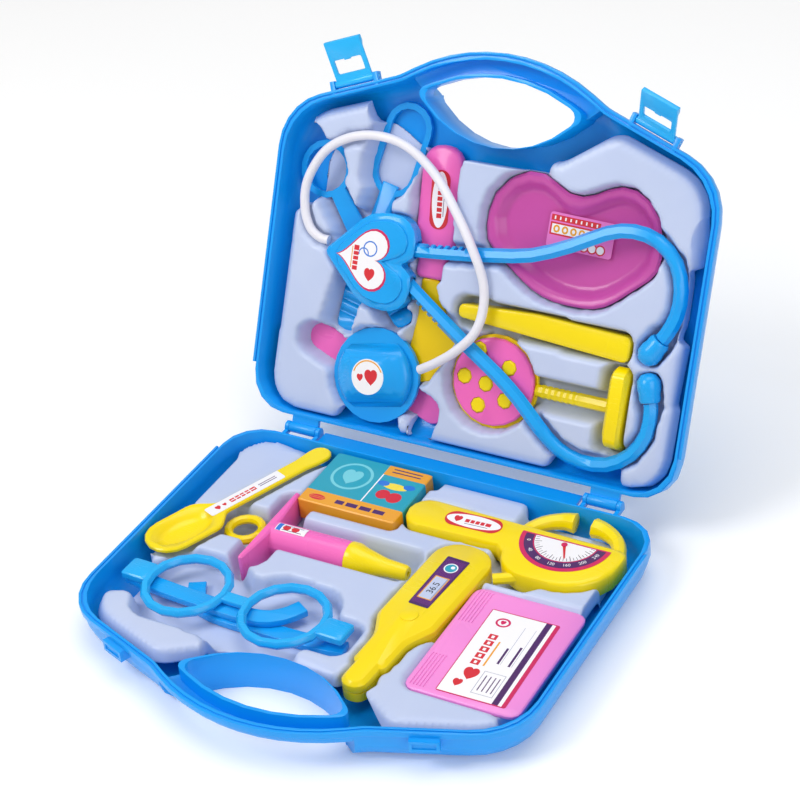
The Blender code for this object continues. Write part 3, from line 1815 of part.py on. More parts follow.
def scissors_pockets():
    shapes = []
    spot = (scissors_x, scissors_r)
    wide = scissors_blade_width / 2
    for turn in scissors_turns_degrees:
        bar = plan_box(-wide, wide, -scissors_blade_length, small_loop_reach, wide / 2)
        shapes.append(placed(bar, *spot, turn))
    small = lambda grow: circle(small_loop_radius + grow, 12, (0, small_loop_reach))
    long_half = long_loop_width / 2
    low = long_loop_reach - long_loop_length / 2
    long = plan_box(-long_half, long_half, low, low + long_loop_length, long_half * full_round_share, 4)
    shapes.append(placed(small, *spot, scissors_turns_degrees[0]))
    shapes.append(placed(long, *spot, scissors_turns_degrees[1]))
    depth = scissors_depth + 2 * scissors_thickness + 2 * seat_gap
    return [(shape, depth) for shape in shapes]


def ear_tip_pockets():
    shapes = []
    wide = ear_tip_radius
    for tube in ear_tips.values():
        (x0, r0, _), (x1, r1, depth) = ear_routes[tube][-2:]
        bar = plan_box(-wide, ear_tip_length, -wide, wide, wide * 0.7)
        turn = math.degrees(math.atan2(r1 - r0, x1 - x0))
        shapes.append((placed(bar, x1, r1, turn), depth + wide + 2 * seat_gap))
    return shapes


def lid_pockets():
    tweezers_half = tweezers_length / 2
    wide = tweezers_wide / 2
    disc_bottom = hammer_depth + hammer_face_height + hammer_disc_height + 2 * seat_gap
    shaft_bottom = disc_bottom - hammer_disc_height / 2 - hammer_shaft_rise + hammer_shaft_radius
    head_left = hammer_x + hammer_shaft_end
    head_right = head_left + hammer_head_width * 0.6
    yoke_bottom = yoke_depth + yoke_step_height + yoke_front_height + yoke_back_height + 2 * seat_gap
    chest_bottom = chest_depth + chest_cap_height + chest_dome_height + chest_ring_height + seat_gap
    return scissors_pockets() + ear_tip_pockets() + [
        (
            placed(scalpel_handle_shape, scalpel_x, scalpel_r, scalpel_turn_degrees),
            scalpel_depth + scalpel_height + seat_gap,
        ),
        (
            placed(scalpel_blade_shape, scalpel_x, scalpel_r, scalpel_turn_degrees),
            scalpel_depth + (scalpel_height + scalpel_blade_thickness) / 2 + seat_gap,
        ),
        (placed(dish_shape, dish_x, dish_r, dish_turn_degrees), dish_depth + dish_height + seat_gap),
        (
            placed(
                plan_box(-tweezers_half, tweezers_half, -wide, wide, tweezers_narrow / 2),
                tweezers_x,
                tweezers_r,
                tweezers_turn_degrees,
            ),
            tweezers_depth + tweezers_height + seat_gap,
        ),
        (placed(disc_shape(hammer_disc_radius), hammer_x, hammer_r), disc_bottom),
        (
            plan_box(
                hammer_x - hammer_disc_radius / 3,
                hammer_x + hammer_disc_radius / 3,
                hammer_r + hammer_disc_radius * 0.8,
                tweezers_r - wide / 2,
                tray_clearance,
            ),
            disc_bottom,
        ),
        (
            plan_box(
                hammer_x,
                (head_left + head_right) / 2,
                hammer_r - 2 * hammer_shaft_radius,
                hammer_r + 2 * hammer_shaft_radius,
                hammer_shaft_radius,
            ),
            shaft_bottom,
        ),
        (
            plan_box(
                head_left - hammer_shaft_radius,
                head_right,
                hammer_r - hammer_head_half,
                hammer_r + hammer_head_half,
                hammer_shaft_radius,
            ),
            shaft_bottom,
        ),
        (
            placed(depressor_shape, depressor_x, depressor_r, depressor_turn_degrees),
            depressor_depth + depressor_thickness + seat_gap,
        ),
        (
            plan_box(*tube_notch, 0, ear_routes["ear_tube_lower"][8][1], tray_clearance),
            ear_routes["ear_tube_lower"][8][2] + ear_tube_radius + 3 * seat_gap,
        ),
        (placed(disc_shape(chest_radius), chest_x, chest_r), chest_bottom),
        (placed(heart_shape, yoke_x, yoke_r), yoke_bottom),
    ]


def channel(spots, radius, extra):
    """A groove for a tube, from below it up to the rim plane."""
    wide, low = radius + 1.5 * tray_clearance + extra, -radius - 2 * seat_gap - extra
    section = [(-wide, low), (wide, low), (wide, 4 * overrun), (-wide, 4 * overrun)]
    path = [Vector((x, r, -depth)) for x, r, depth in spots]
    path.insert(0, path[0] * 2 - path[1])
    path.append(path[-1] * 2 - path[-2])
    return swept("channel", path, section)


def lid_channels(extra):
    tools = [channel(spots, ear_tube_radius, extra) for spots in ear_routes.values()]
    tools.append(channel(tube_route, tube_radius, extra))
    return tools


def formed_tray(name, side, plateau_depth, pockets, channels):
    """A sheet of even thickness over a block with recesses in it."""
    sheets = []
    for grow, drop in ((0, 0), (-tray_sheet, tray_sheet)):
        block = tray_block(name, side, plateau_depth, grow, drop)
        for shape, depth in pockets:
            hollow = lambda extra, shape=shape: shape(extra + tray_clearance + drop)
            cut(block, slab("pocket", hollow, -depth - drop, overrun))
        cut(block, *channels(drop))
        sheets.append(block)
    return cut(*sheets)


def base_tray():
    tray = formed_tray("base_tray", -1, base_plateau_depth, base_pockets(), lambda extra: [])
    tray.parent = base_frame
    return finished(tray, tray_lavender, 0.5)


def lid_tray():
    tray = formed_tray("lid_tray", 1, lid_plateau_depth, lid_pockets(), lid_channels)
    tray.parent = lid_frame
    tray.location = (0, hinge_back, -rim_gap / 2)
    return finished(tray, tray_lavender, 0.5)


base_tray()
lid_tray()
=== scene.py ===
import math

import bpy
from mathutils import Matrix, Vector
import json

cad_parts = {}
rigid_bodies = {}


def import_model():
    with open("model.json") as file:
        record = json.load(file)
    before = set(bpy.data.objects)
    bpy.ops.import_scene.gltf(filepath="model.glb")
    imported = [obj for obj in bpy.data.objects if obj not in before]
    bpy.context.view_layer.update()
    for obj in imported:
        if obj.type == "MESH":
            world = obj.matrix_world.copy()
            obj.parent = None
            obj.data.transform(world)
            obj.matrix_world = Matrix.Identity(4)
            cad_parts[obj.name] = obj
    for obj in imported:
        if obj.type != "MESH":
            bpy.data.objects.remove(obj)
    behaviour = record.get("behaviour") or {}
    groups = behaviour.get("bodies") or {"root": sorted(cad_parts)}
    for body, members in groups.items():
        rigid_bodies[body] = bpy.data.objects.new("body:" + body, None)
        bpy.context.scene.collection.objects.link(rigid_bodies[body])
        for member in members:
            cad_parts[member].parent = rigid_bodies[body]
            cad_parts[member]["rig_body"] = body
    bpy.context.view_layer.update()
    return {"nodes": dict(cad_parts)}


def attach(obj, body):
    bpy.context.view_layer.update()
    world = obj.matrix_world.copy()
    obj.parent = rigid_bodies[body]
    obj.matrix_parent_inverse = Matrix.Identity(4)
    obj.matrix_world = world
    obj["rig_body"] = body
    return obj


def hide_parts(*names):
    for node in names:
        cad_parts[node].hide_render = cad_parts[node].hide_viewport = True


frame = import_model()
nodes = frame["nodes"]
print("stage: frame loaded,", len(nodes), "nodes")

# places on the case: x to the right, r from the hinge towards the handle, depth below the rim plane
caseFrame = {
    "rimHeight": 0.0235,
    "centreR": 0.100,
    "hingeY": 0.1068,
    "hingeZ": 0.02365,
    "hingeBack": 0.0068,
    "halfGap": 0.00015,
    "lidAngle": math.radians(64),
}


def basePlace(x, r, depth, turn=0.0):
    spot = Vector((x, caseFrame["centreR"] - r, caseFrame["rimHeight"] - depth))
    return Matrix.Translation(spot) @ Matrix.Rotation(math.radians(turn), 4, "Z")


def lidPlace(x, r, depth, turn=0.0):
    hinge = Matrix.Translation((0, caseFrame["hingeY"], caseFrame["hingeZ"]))
    tilt = Matrix.Rotation(caseFrame["lidAngle"], 4, "X")
    spot = Vector((x, r + caseFrame["hingeBack"], -depth - caseFrame["halfGap"]))
    return hinge @ tilt @ Matrix.Translation(spot) @ Matrix.Rotation(math.radians(turn), 4, "Z")


# shader maths reads as expressions on these
class Wire:
    def __init__(self, socket):
        self.socket = socket

    def node(self, kind, settings=None, values=None, output=0):
        tree = self.socket.id_data
        made = tree.nodes.new(kind)
        for key, value in (settings or {}).items():
            if key == "stops":
                stops = made.color_ramp.elements
                while len(stops) < len(value):
                    stops.new(0.5)
                for stop, (spot, colour) in zip(stops, value):
                    stop.position = spot
                    stop.color = colour if len(colour) == 4 else (*colour, 1)
            else:
                setattr(made, key, value)
        for key, value in (values or {}).items():
            if isinstance(value, Wire):
                tree.links.new(value.socket, made.inputs[key])
            else:
                made.inputs[key].default_value = value
        return Wire(made.outputs[output])

    def maths(self, operation, first, second=0.0):
        return self.node("ShaderNodeMath", {"operation": operation}, {0: first, 1: second})

    def __add__(self, other):
        return self.maths("ADD", self, other)

    def __radd__(self, other):
        return self.maths("ADD", other, self)

    def __sub__(self, other):
        return self.maths("SUBTRACT", self, other)

    def __rsub__(self, other):
        return self.maths("SUBTRACT", other, self)

    def __mul__(self, other):
        return self.maths("MULTIPLY", self, other)

    def __rmul__(self, other):
        return self.maths("MULTIPLY", other, self)

    def __truediv__(self, other):
        return self.maths("DIVIDE", self, other)

    def __rtruediv__(self, other):
        return self.maths("DIVIDE", other, self)

    def __lt__(self, other):
        return self.maths("LESS_THAN", self, other)

    def __gt__(self, other):
        return self.maths("GREATER_THAN", self, other)


def startMaterial(name):
    made = bpy.data.materials.new(name)
    made.use_nodes = True
    shader = made.node_tree.nodes["Principled BSDF"]
    coords = made.node_tree.nodes.new("ShaderNodeTexCoord")
    return made, shader, coords


def feed(shader, name, wire):
    wire.socket.id_data.links.new(wire.socket, shader.inputs[name])


def mixColour(factor, first, second, blend="MIX"):
    values = {"Factor": factor, 6: first, 7: second}
    return factor.node("ShaderNodeMix", {"data_type": "RGBA", "blend_type": blend}, values, 2)


def rgb(red, green, blue):  # screen colour 0 to 255 to scene colour
    def linear(value):
        value = value / 255
        return value / 12.92 if value <= 0.04045 else ((value + 0.055) / 1.055) ** 2.4

    return (linear(red), linear(green), linear(blue), 1)


# moulded plastic: slow colour drift, faint flow lines, fine scuffs and uneven gloss
plasticFinish = {
    "driftScale": 14.0,
    "grainScale": 900.0,
    "scuffScale": 160.0,
    "flowScale": 38.0,
    "bumpDistance": 0.00004,
}


def mouldedPlastic(name, colour, shade, roughness=0.28, coat=0.25, gloss=0.36):
    made, shader, coords = startMaterial(name)
    place = Wire(coords.outputs["Object"])
    drift = place.node(
        "ShaderNodeTexNoise", None, {"Vector": place, "Scale": plasticFinish["driftScale"], "Detail": 2.0}
    )
    grain = place.node(
        "ShaderNodeTexNoise", None, {"Vector": place, "Scale": plasticFinish["grainScale"], "Detail": 3.0}
    )
    flow = place.node(
        "ShaderNodeTexWave",
        {"wave_type": "BANDS"},
        {"Vector": place, "Scale": plasticFinish["flowScale"], "Distortion": 14.0, "Detail": 2.0},
    )
    stretched = place.node(
        "ShaderNodeMapping", None, {"Vector": place, "Scale": (1.0, 9.0, 3.0), "Rotation": (0.3, 0.5, 0.7)}
    )
    scuff = place.node(
        "ShaderNodeTexNoise", None, {"Vector": stretched, "Scale": plasticFinish["scuffScale"], "Detail": 4.0}
    )
    scuffMask = scuff.node(
        "ShaderNodeValToRGB", {"stops": [(0.60, (0, 0, 0)), (0.72, (1, 1, 1))]}, {"Fac": scuff}
    )
    tone = mixColour(drift, colour, shade)
    feed(shader, "Base Color", tone)
    feed(shader, "Roughness", roughness + drift * 0.08 + scuffMask * 0.06)
    height = grain * 0.35 + flow * 0.10 + scuffMask * -0.2
    bump = height.node(
        "ShaderNodeBump", None, {"Height": height, "Strength": 0.5, "Distance": plasticFinish["bumpDistance"]}
    )
    feed(shader, "Normal", bump)
    shader.inputs["Coat Weight"].default_value = coat
    shader.inputs["Coat Roughness"].default_value = 0.12
    shader.inputs["Specular IOR Level"].default_value = gloss
    return made


def formedSheet(name, colour, shade):  # thin vacuum-formed insert, faintly pearly
    made, shader, coords = startMaterial(name)
    place = Wire(coords.outputs["Object"])
    ripple = place.node(
        "ShaderNodeTexNoise", None, {"Vector": place, "Scale": 26.0, "Detail": 3.0, "Distortion": 0.6}
    )
    grain = place.node("ShaderNodeTexNoise", None, {"Vector": place, "Scale": 700.0, "Detail": 2.0})
    feed(shader, "Base Color", mixColour(ripple, colour, shade))
    feed(shader, "Roughness", 0.34 + ripple * 0.12)
    height = ripple + grain * 0.06
    bump = height.node("ShaderNodeBump", None, {"Height": height, "Strength": 0.35, "Distance": 0.0006})
    feed(shader, "Normal", bump)
    shader.inputs["Coat Weight"].default_value = 0.15
    shader.inputs["Coat Roughness"].default_value = 0.2
    shader.inputs["Specular IOR Level"].default_value = 0.5
    return made


finishes = {
    "caseBlue": mouldedPlastic("caseBlue", rgb(8, 164, 246), rgb(2, 148, 238), 0.30, 0.2),
    "toolBlue": mouldedPlastic("toolBlue", rgb(22, 172, 244), rgb(10, 156, 236), 0.24, 0.25),
    "latchBlue": mouldedPlastic("latchBlue", rgb(40, 188, 248), rgb(28, 172, 242), 0.26, 0.25),
    "glassesBlue": mouldedPlastic("glassesBlue", rgb(32, 182, 246), rgb(20, 166, 240), 0.22, 0.3),
    "toyYellow": mouldedPlastic("toyYellow", rgb(252, 230, 0), rgb(248, 214, 0), 0.24, 0.2),
    "toyPink": mouldedPlastic("toyPink", rgb(252, 118, 196), rgb(242, 98, 184), 0.24, 0.25),
    "dishPink": mouldedPlastic("dishPink", rgb(210, 86, 172), rgb(196, 72, 158), 0.26, 0.25),
    "cardPink": mouldedPlastic("cardPink", rgb(248, 152, 222), rgb(242, 138, 214), 0.3, 0.25),
    "bladeYellow": mouldedPlastic("bladeYellow", rgb(250, 216, 0), rgb(242, 198, 0), 0.26, 0.2),
    "tubeWhite": mouldedPlastic("tubeWhite", rgb(240, 238, 243), rgb(226, 224, 234), 0.36, 0.15),
    "trayLavender": formedSheet("trayLavender", rgb(198, 209, 235), rgb(184, 197, 229)),
}
nodeFinish = {
    "base_shell": "caseBlue",
    "lid_shell": "caseBlue",
    "base_tray": "trayLavender",
    "lid_tray": "trayLavender",
    "latch_left": "latchBlue",
    "latch_right": "latchBlue",
    "spoon": "toyYellow",
    "medicine_box": "cardPink",
    "syringe_barrel": "toyPink",
    "syringe_nozzle": "toyYellow",
    "syringe_plunger": "toyYellow",
    "glasses_front": "glassesBlue",
    "glasses_temple_left": "toolBlue",
    "glasses_temple_right": "toolBlue",
    "thermometer_front": "toyYellow",
    "thermometer_back": "toyYellow",
    "gauge_front": "toyYellow",
    "gauge_back": "toyYellow",
    "id_card": "cardPink",
    "scissors_half_a": "toolBlue",
    "scissors_half_b": "toolBlue",
    "scissors_rivet": "toolBlue",
    "scalpel_handle": "toyPink",
    "scalpel_blade": "bladeYellow",
    "kidney_dish": "dishPink",
    "tweezers": "toyYellow",
    "hammer_handle": "toyYellow",
    "hammer_face": "toyPink",
    "hammer_head": "toyYellow",
    "tongue_depressor": "toyPink",
    "yoke_front": "toolBlue",
    "yoke_back": "toolBlue",
    "ear_tube_upper": "toolBlue",
    "ear_tube_lower": "toolBlue",
    "ear_tip_upper": "toolBlue",
    "ear_tip_lower": "toolBlue",
    "chest_dome": "toolBlue",
    "chest_ring": "toolBlue",
    "chest_tube": "tubeWhite",
}
for nodeName, finishName in nodeFinish.items():
    dressed = nodes[nodeName].data
    dressed.materials.clear()
    dressed.materials.append(finishes[finishName])
print("stage: finishes on the CAD nodes")

# the white tube of the stethoscope, shown end to end
whiteTube = {
    "radius": 0.00275,
    "stepsPerSpan": 3,
    "route": [
        (-0.1000, 0.1055, 0.0075),
        (-0.1060, 0.1062, 0.0072),
        (-0.1130, 0.1110, 0.0066),
        (-0.1178, 0.1220, 0.0060),
        (-0.1180, 0.1380, 0.0056),
        (-0.1090, 0.1560, 0.0052),
        (-0.0940, 0.1665, 0.0050),
        (-0.0750, 0.1705, 0.0050),
        (-0.0550, 0.1670, 0.0050),
        (-0.0350, 0.1540, 0.0046),
        (-0.0165, 0.1340, 0.0018),
        (-0.0030, 0.1165, -0.0006),
        (0.0050, 0.1000, 0.0012),
        (0.0070, 0.0840, 0.0016),
        (0.0040, 0.0700, 0.0000),
        (-0.0060, 0.0580, -0.0004),
        (-0.0180, 0.0490, 0.0020),
        (-0.0290, 0.0425, 0.0050),
    ],
}


def smoothRoute(spots, steps):
    points = []
    for i in range(len(spots) - 1):
        before = spots[max(i - 1, 0)]
        start, end = spots[i], spots[i + 1]
        after = spots[min(i + 2, len(spots) - 1)]
        for k in range(steps):
            t = k / steps
            points.append(
                (
                    2 * start
                    + (end - before) * t
                    + (2 * before - 5 * start + 4 * end - after) * t * t
                    + (3 * start - before - 3 * end + after) * t * t * t
                )
                / 2
            )
    points.append(spots[-1])
    return points


def makeWhiteTube():
    spots = [lidPlace(*spot).translation for spot in whiteTube["route"]]
    points = smoothRoute(spots, 2 * whiteTube["stepsPerSpan"])
    line = bpy.data.curves.new("tubeLine", "CURVE")
    line.dimensions = "3D"
    line.bevel_depth = whiteTube["radius"]
    line.bevel_resolution = 6
    line.use_fill_caps = True
    spline = line.splines.new("POLY")
    spline.points.add(len(points) - 1)
    for point, spot in zip(spline.points, points):
        point.co = (*spot, 1)
    made = bpy.data.objects.new("whiteTube", line)
    bpy.context.collection.objects.link(made)
    line.materials.append(finishes["tubeWhite"])
    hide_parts("chest_tube")
    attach(made, "stethoscope")
    length = sum((b - a).length for a, b in zip(points, points[1:]))
    print("stage: white tube,", round(length, 3), "m")


makeWhiteTube()


# flat pieces start as a plane or a disc and are shaped in edit mode
def deselectAll():
    if bpy.context.mode != "OBJECT":
        bpy.ops.object.mode_set(mode="OBJECT")
    bpy.ops.object.select_all(action="DESELECT")


def settle(made, place, body):
    deselectAll()
    made.select_set(True)
    bpy.context.view_layer.objects.active = made
    made.matrix_world = place
    bpy.ops.object.transform_apply(location=True, rotation=True, scale=True)
    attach(made, body)
    return made


def mapFlat(made):  # the piece's own plan, in centimetres, as its UV map
    layer = made.data.uv_layers.new(name="plan") if not made.data.uv_layers else made.data.uv_layers[0]
    for loop in made.data.loops:
        spot = made.data.vertices[loop.vertex_index].co
        layer.data[loop.index].uv = (spot.x * 100, spot.y * 100)


def roundedPatch(name, wide, high, corner, thickness, material, place, body, taper=0.0):
    deselectAll()
    bpy.ops.mesh.primitive_plane_add(size=1, location=(0, 0, 0))
    made = bpy.context.active_object
    made.name = name
    made.scale = (wide, high, 1)
    bpy.ops.object.transform_apply(location=False, rotation=False, scale=True)
    for vertex in made.data.vertices:
        if vertex.co.x > 0:
            vertex.co.y *= 1 - taper
    bpy.ops.object.mode_set(mode="EDIT")
    bpy.ops.mesh.select_all(action="SELECT")
    bpy.ops.mesh.bevel(offset=corner, segments=8, affect="VERTICES")
    bpy.ops.mesh.select_all(action="SELECT")
    bpy.ops.mesh.extrude_region_move(TRANSFORM_OT_translate={"value": (0, 0, thickness)})
    bpy.ops.mesh.select_all(action="SELECT")
    bpy.ops.mesh.normals_make_consistent(inside=False)
    bpy.ops.object.mode_set(mode="OBJECT")
    mapFlat(made)
    made.data.materials.clear()
    made.data.materials.append(material)
    return settle(made, place, body)


def outlinePatch(name, points, thickness, material, place, body):
    deselectAll()
    bpy.ops.mesh.primitive_circle_add(vertices=len(points), radius=1, fill_type="NGON", location=(0, 0, 0))
    made = bpy.context.active_object
    made.name = name
    for vertex, (x, y) in zip(made.data.vertices, points):
        vertex.co = (x, y, 0)
    bpy.ops.object.mode_set(mode="EDIT")
    bpy.ops.mesh.select_all(action="SELECT")
    bpy.ops.mesh.extrude_region_move(TRANSFORM_OT_translate={"value": (0, 0, thickness)})
    bpy.ops.mesh.select_all(action="SELECT")
    bpy.ops.mesh.normals_make_consistent(inside=False)
    bpy.ops.object.mode_set(mode="OBJECT")
    mapFlat(made)
    made.data.materials.clear()
    made.data.materials.append(material)
    return settle(made, place, body)


def numberPiece(name, words, size, place, body, material):
    deselectAll()
    bpy.ops.object.text_add(location=(0, 0, 0))
    made = bpy.context.active_object
    made.name = name
    made.data.body = words
    made.data.size = size
    made.data.align_x = "CENTER"
    made.data.align_y = "CENTER"
    made.data.extrude = 0.00006
    bpy.ops.object.convert(target="MESH")
    made = bpy.context.active_object
    made.data.materials.clear()
    made.data.materials.append(material)
    return settle(made, place, body)


# printed designs: shapes drawn in the patch's own plan, in centimetres
class Print:
    def __init__(self, name, paper, roughness=0.32, source="UV"):
        self.made, self.shader, coords = startMaterial(name)
        self.place = Wire(coords.outputs[source])
        parts = self.place.node("ShaderNodeSeparateXYZ", None, {0: self.place}).socket.node.outputs
        self.x, self.y, self.z = Wire(parts[0]), Wire(parts[1]), Wire(parts[2])
        speck = self.place.node("ShaderNodeTexNoise", None, {"Vector": self.place, "Scale": 40.0, "Detail": 3.0})
        dimmed = tuple(c * 0.93 for c in paper[:3]) + (1,)
        self.colour = mixColour(speck, paper, dimmed)
        feed(self.shader, "Roughness", roughness + speck * 0.1)
        bump = speck.node("ShaderNodeBump", None, {"Height": speck, "Strength": 0.15, "Distance": 0.0001})
        feed(self.shader, "Normal", bump)
        self.shader.inputs["Coat Weight"].default_value = 0.3
        self.shader.inputs["Coat Roughness"].default_value = 0.15

    def ink(self, mask, colour):
        self.colour = mixColour(mask, self.colour, colour)

    def disc(self, x, y, radius, high=None):
        u = (self.x - x) / radius
        v = (self.y - y) / (high or radius)
        return u * u + v * v < 1.0

    def bar(self, left, right, low, high):
        return (self.x > left) * (self.x < right) * (self.y > low) * (self.y < high)

    def heart(self, x, y, size):
        u = (self.x - x) / size
        v = (self.y - y) / size
        wide = u.maths("ABSOLUTE", u)
        lift = v - wide.maths("SQRT", wide) * 0.62
        return u * u + lift * lift < 1.0

    def finish(self):
        feed(self.shader, "Base Color", self.colour)
        return self.made


inks = {
    "white": rgb(250, 248, 250),
    "red": rgb(216, 34, 46),
    "purple": rgb(76, 30, 96),
    "magenta": rgb(212, 30, 92),
    "orange": rgb(238, 164, 28),
    "turquoise": rgb(38, 164, 186),
    "paleTurquoise": rgb(120, 208, 218),
    "grey": rgb(178, 182, 196),
    "blue": rgb(40, 120, 215),
    "yellow": rgb(250, 222, 60),
    "black": rgb(24, 22, 34),
    "lcd": rgb(196, 206, 232),
}
plainInk = {
    name: mouldedPlastic("ink" + name.capitalize(), colour, tuple(c * 0.92 for c in colour[:3]) + (1,), 0.4, 0.2)
    for name, colour in inks.items()
    if name in ("white", "red", "magenta", "black")
}
sheetThickness = 0.00018
stickerLift = Matrix.Translation((0, 0, 0.00005))  # clear of the moulding under it


def lines(design, left, right, lows, thickness, colour):
    for low in lows:
        design.ink(design.bar(left, right, low, low + thickness), colour)


# medicine box: printed card sleeve over the top and the handle side
medicineBox = {"x": (-0.0665, -0.0045), "r": (0.0040, 0.0520), "depth": 0.0012, "height": 0.0140}


def boxPrint():
    design = Print("boxPrint", inks["turquoise"], 0.36, "Object")
    left, right = medicineBox["x"]
    back, front = (caseFrame["centreR"] - r for r in medicineBox["r"])
    band = front + 0.0110
    middle = left + 0.56 * (right - left)
    design.ink(design.disc(left + 0.019, back - 0.018, 0.0125), inks["paleTurquoise"])
    design.ink(design.disc(left + 0.019, back - 0.018, 0.0108), inks["turquoise"])
    design.ink(design.heart(left + 0.019, back - 0.0200, 0.0060), inks["paleTurquoise"])
    design.ink(design.bar(middle, middle + 0.0008, band, back), inks["white"])
    design.ink(design.disc(middle + 0.009, back - 0.0265, 0.0042), inks["red"])
    design.ink(design.disc(middle + 0.0165, back - 0.0275, 0.0046), inks["red"])
    design.ink(design.disc(middle + 0.0125, back - 0.018, 0.0078, 0.0028), inks["yellow"])
    design.ink(design.disc(middle + 0.0045, back - 0.017, 0.0036, 0.0024), inks["blue"])
    design.ink(design.disc(middle + 0.0205, back - 0.016, 0.0036, 0.0024), inks["blue"])
    design.ink(design.bar(middle, right + 0.001, back - 0.0095, back + 0.001), inks["orange"])
    lines(design, middle + 0.004, right - 0.005, (back - 0.0035, back - 0.0062), 0.0009, inks["purple"])
    design.ink(design.y < band, inks["orange"])
    design.ink(design.bar(left + 0.022, right - 0.008, front + 0.0038, front + 0.0072), inks["purple"])
    for gap in (0.30, 0.44, 0.58, 0.72, 0.86):
        cut = left + gap * (right - left)
        design.ink(design.bar(cut, cut + 0.0016, front + 0.0037, front + 0.0073), inks["orange"])
    design.ink(design.disc(left + 0.010, front + 0.0055, 0.0052, 0.0024), inks["red"])
    lines(design, left + 0.005, left + 0.015, (front + 0.0048, front + 0.0060), 0.0003, inks["orange"])
    return design.finish()


nodes["medicine_box"].data.materials.clear()
nodes["medicine_box"].data.materials.append(boxPrint())
print("stage: medicine box print")

# stickers on the instruments in the base
spoonStrip = {
    "along": 0.0435,
    "wide": 0.052,
    "high": 0.0086,
    "x": -0.1135,
    "r": 0.0990,
    "turn": 68,
    "depth": 0.0018,
}


def spoonSticker():
    design = Print("spoonPrint", inks["white"])
    for spot, size in ((-1.9, 0.17), (-1.45, 0.12)):
        design.ink(design.heart(spot, -0.04, size), inks["red"])
    design.ink(design.bar(-1.05, 0.75, -0.16, 0.16), inks["red"])
    for cut in (-0.72, -0.38, -0.04, 0.30):
        design.ink(design.bar(cut, cut + 0.07, -0.18, 0.18), inks["white"])
    design.ink(design.bar(-1.0, 0.7, -0.035, 0.035), inks["white"])
    lines(design, 1.0, 2.2, (-0.10, 0.06), 0.06, inks["purple"])
    place = basePlace(spoonStrip["x"], spoonStrip["r"], spoonStrip["depth"], spoonStrip["turn"])
    place = place @ Matrix.Translation((spoonStrip["along"], 0, 0.00005))
    roundedPatch(
        "spoonStrip", spoonStrip["wide"], spoonStrip["high"], 0.0012, sheetThickness,
        design.finish(), place, "spoon",
    )


syringeLabel = {
    "along": 0.0165,
    "wide": 0.019,
    "high": 0.0062,
    "x": -0.0710,
    "r": 0.0780,
    "depth": 0.0108,
    "radius": 0.0093,
}


def syringeSticker():
    design = Print("syringePrint", inks["white"])
    design.ink(design.bar(-0.90, -0.62, -0.3, 0.3), inks["blue"])
    design.ink(design.disc(-0.30, 0.0, 0.24, 0.20), inks["red"])
    design.ink(design.disc(0.25, 0.0, 0.24, 0.20), inks["red"])
    lines(design, -0.55, 0.70, (0.16, -0.22), 0.04, inks["purple"])
    deselectAll()
    bpy.ops.mesh.primitive_grid_add(x_subdivisions=8, y_subdivisions=12, size=1, location=(0, 0, 0))
    made = bpy.context.active_object
    made.name = "syringeLabel"
    made.scale = (syringeLabel["wide"], syringeLabel["high"], 1)
    bpy.ops.object.transform_apply(location=False, rotation=False, scale=True)
    mapFlat(made)
    lift = syringeLabel["radius"] + 0.0001
    for vertex in made.data.vertices:  # wrapped over the barrel
        angle = vertex.co.y / lift
        vertex.co.y, vertex.co.z = lift * math.sin(angle), lift * math.cos(angle)
    bpy.ops.object.modifier_add(type="SOLIDIFY")
    made.modifiers[-1].thickness = sheetThickness
    made.modifiers[-1].offset = 1
    bpy.ops.object.modifier_apply(modifier=made.modifiers[-1].name)
    made.data.materials.clear()
    made.data.materials.append(design.finish())
    place = basePlace(syringeLabel["x"] + syringeLabel["along"], syringeLabel["r"], syringeLabel["depth"])
    settle(made, place, "syringe")


thermometerDisplay = {
    "x": 0.0420, "r": 0.1150, "turn": -93.3, "depth": 0.0012,
    "along": -0.0265, "long": 0.043, "wide": 0.0138, "window": (0.0185, 0.0078), "digits": 0.0056,
}


def thermometerSticker():
    plan = thermometerDisplay
    design = Print("displayPrint", inks["purple"], 0.22)
    design.ink(design.bar(-1.95, 1.95, -0.56, 0.56), rgb(98, 36, 112))
    design.ink(design.disc(-1.28, 0, 0.40), inks["white"])
    design.ink(design.disc(-1.28, 0, 0.33), inks["turquoise"])
    design.ink(design.disc(-1.36, 0.08, 0.12), inks["white"])
    design.ink(design.bar(-0.45, 1.55, -0.44, 0.44), inks["orange"])
    design.ink(design.bar(-0.38, 1.48, -0.38, 0.38), inks["lcd"])
    design.ink(design.bar(-0.38, 1.48, 0.30, 0.38), rgb(150, 160, 196))
    place = basePlace(plan["x"], plan["r"], plan["depth"], plan["turn"])
    patch = place @ Matrix.Translation((plan["along"], 0, 0.00005))
    roundedPatch(
        "displaySticker", plan["long"], plan["wide"], 0.0008, sheetThickness,
        design.finish(), patch, "thermometer", 0.12,
    )
    spot = patch @ Matrix.Translation((0.0055, 0, sheetThickness)) @ Matrix.Rotation(math.pi, 4, "Z")
    numberPiece("displayDigits", "36.5", plan["digits"], spot, "thermometer", plainInk["black"])


gaugeDial = {"x": 0.0920, "r": 0.0330, "depth": 0.0012, "radius": 0.0262, "flat": 0.0022, "numbers": 7}


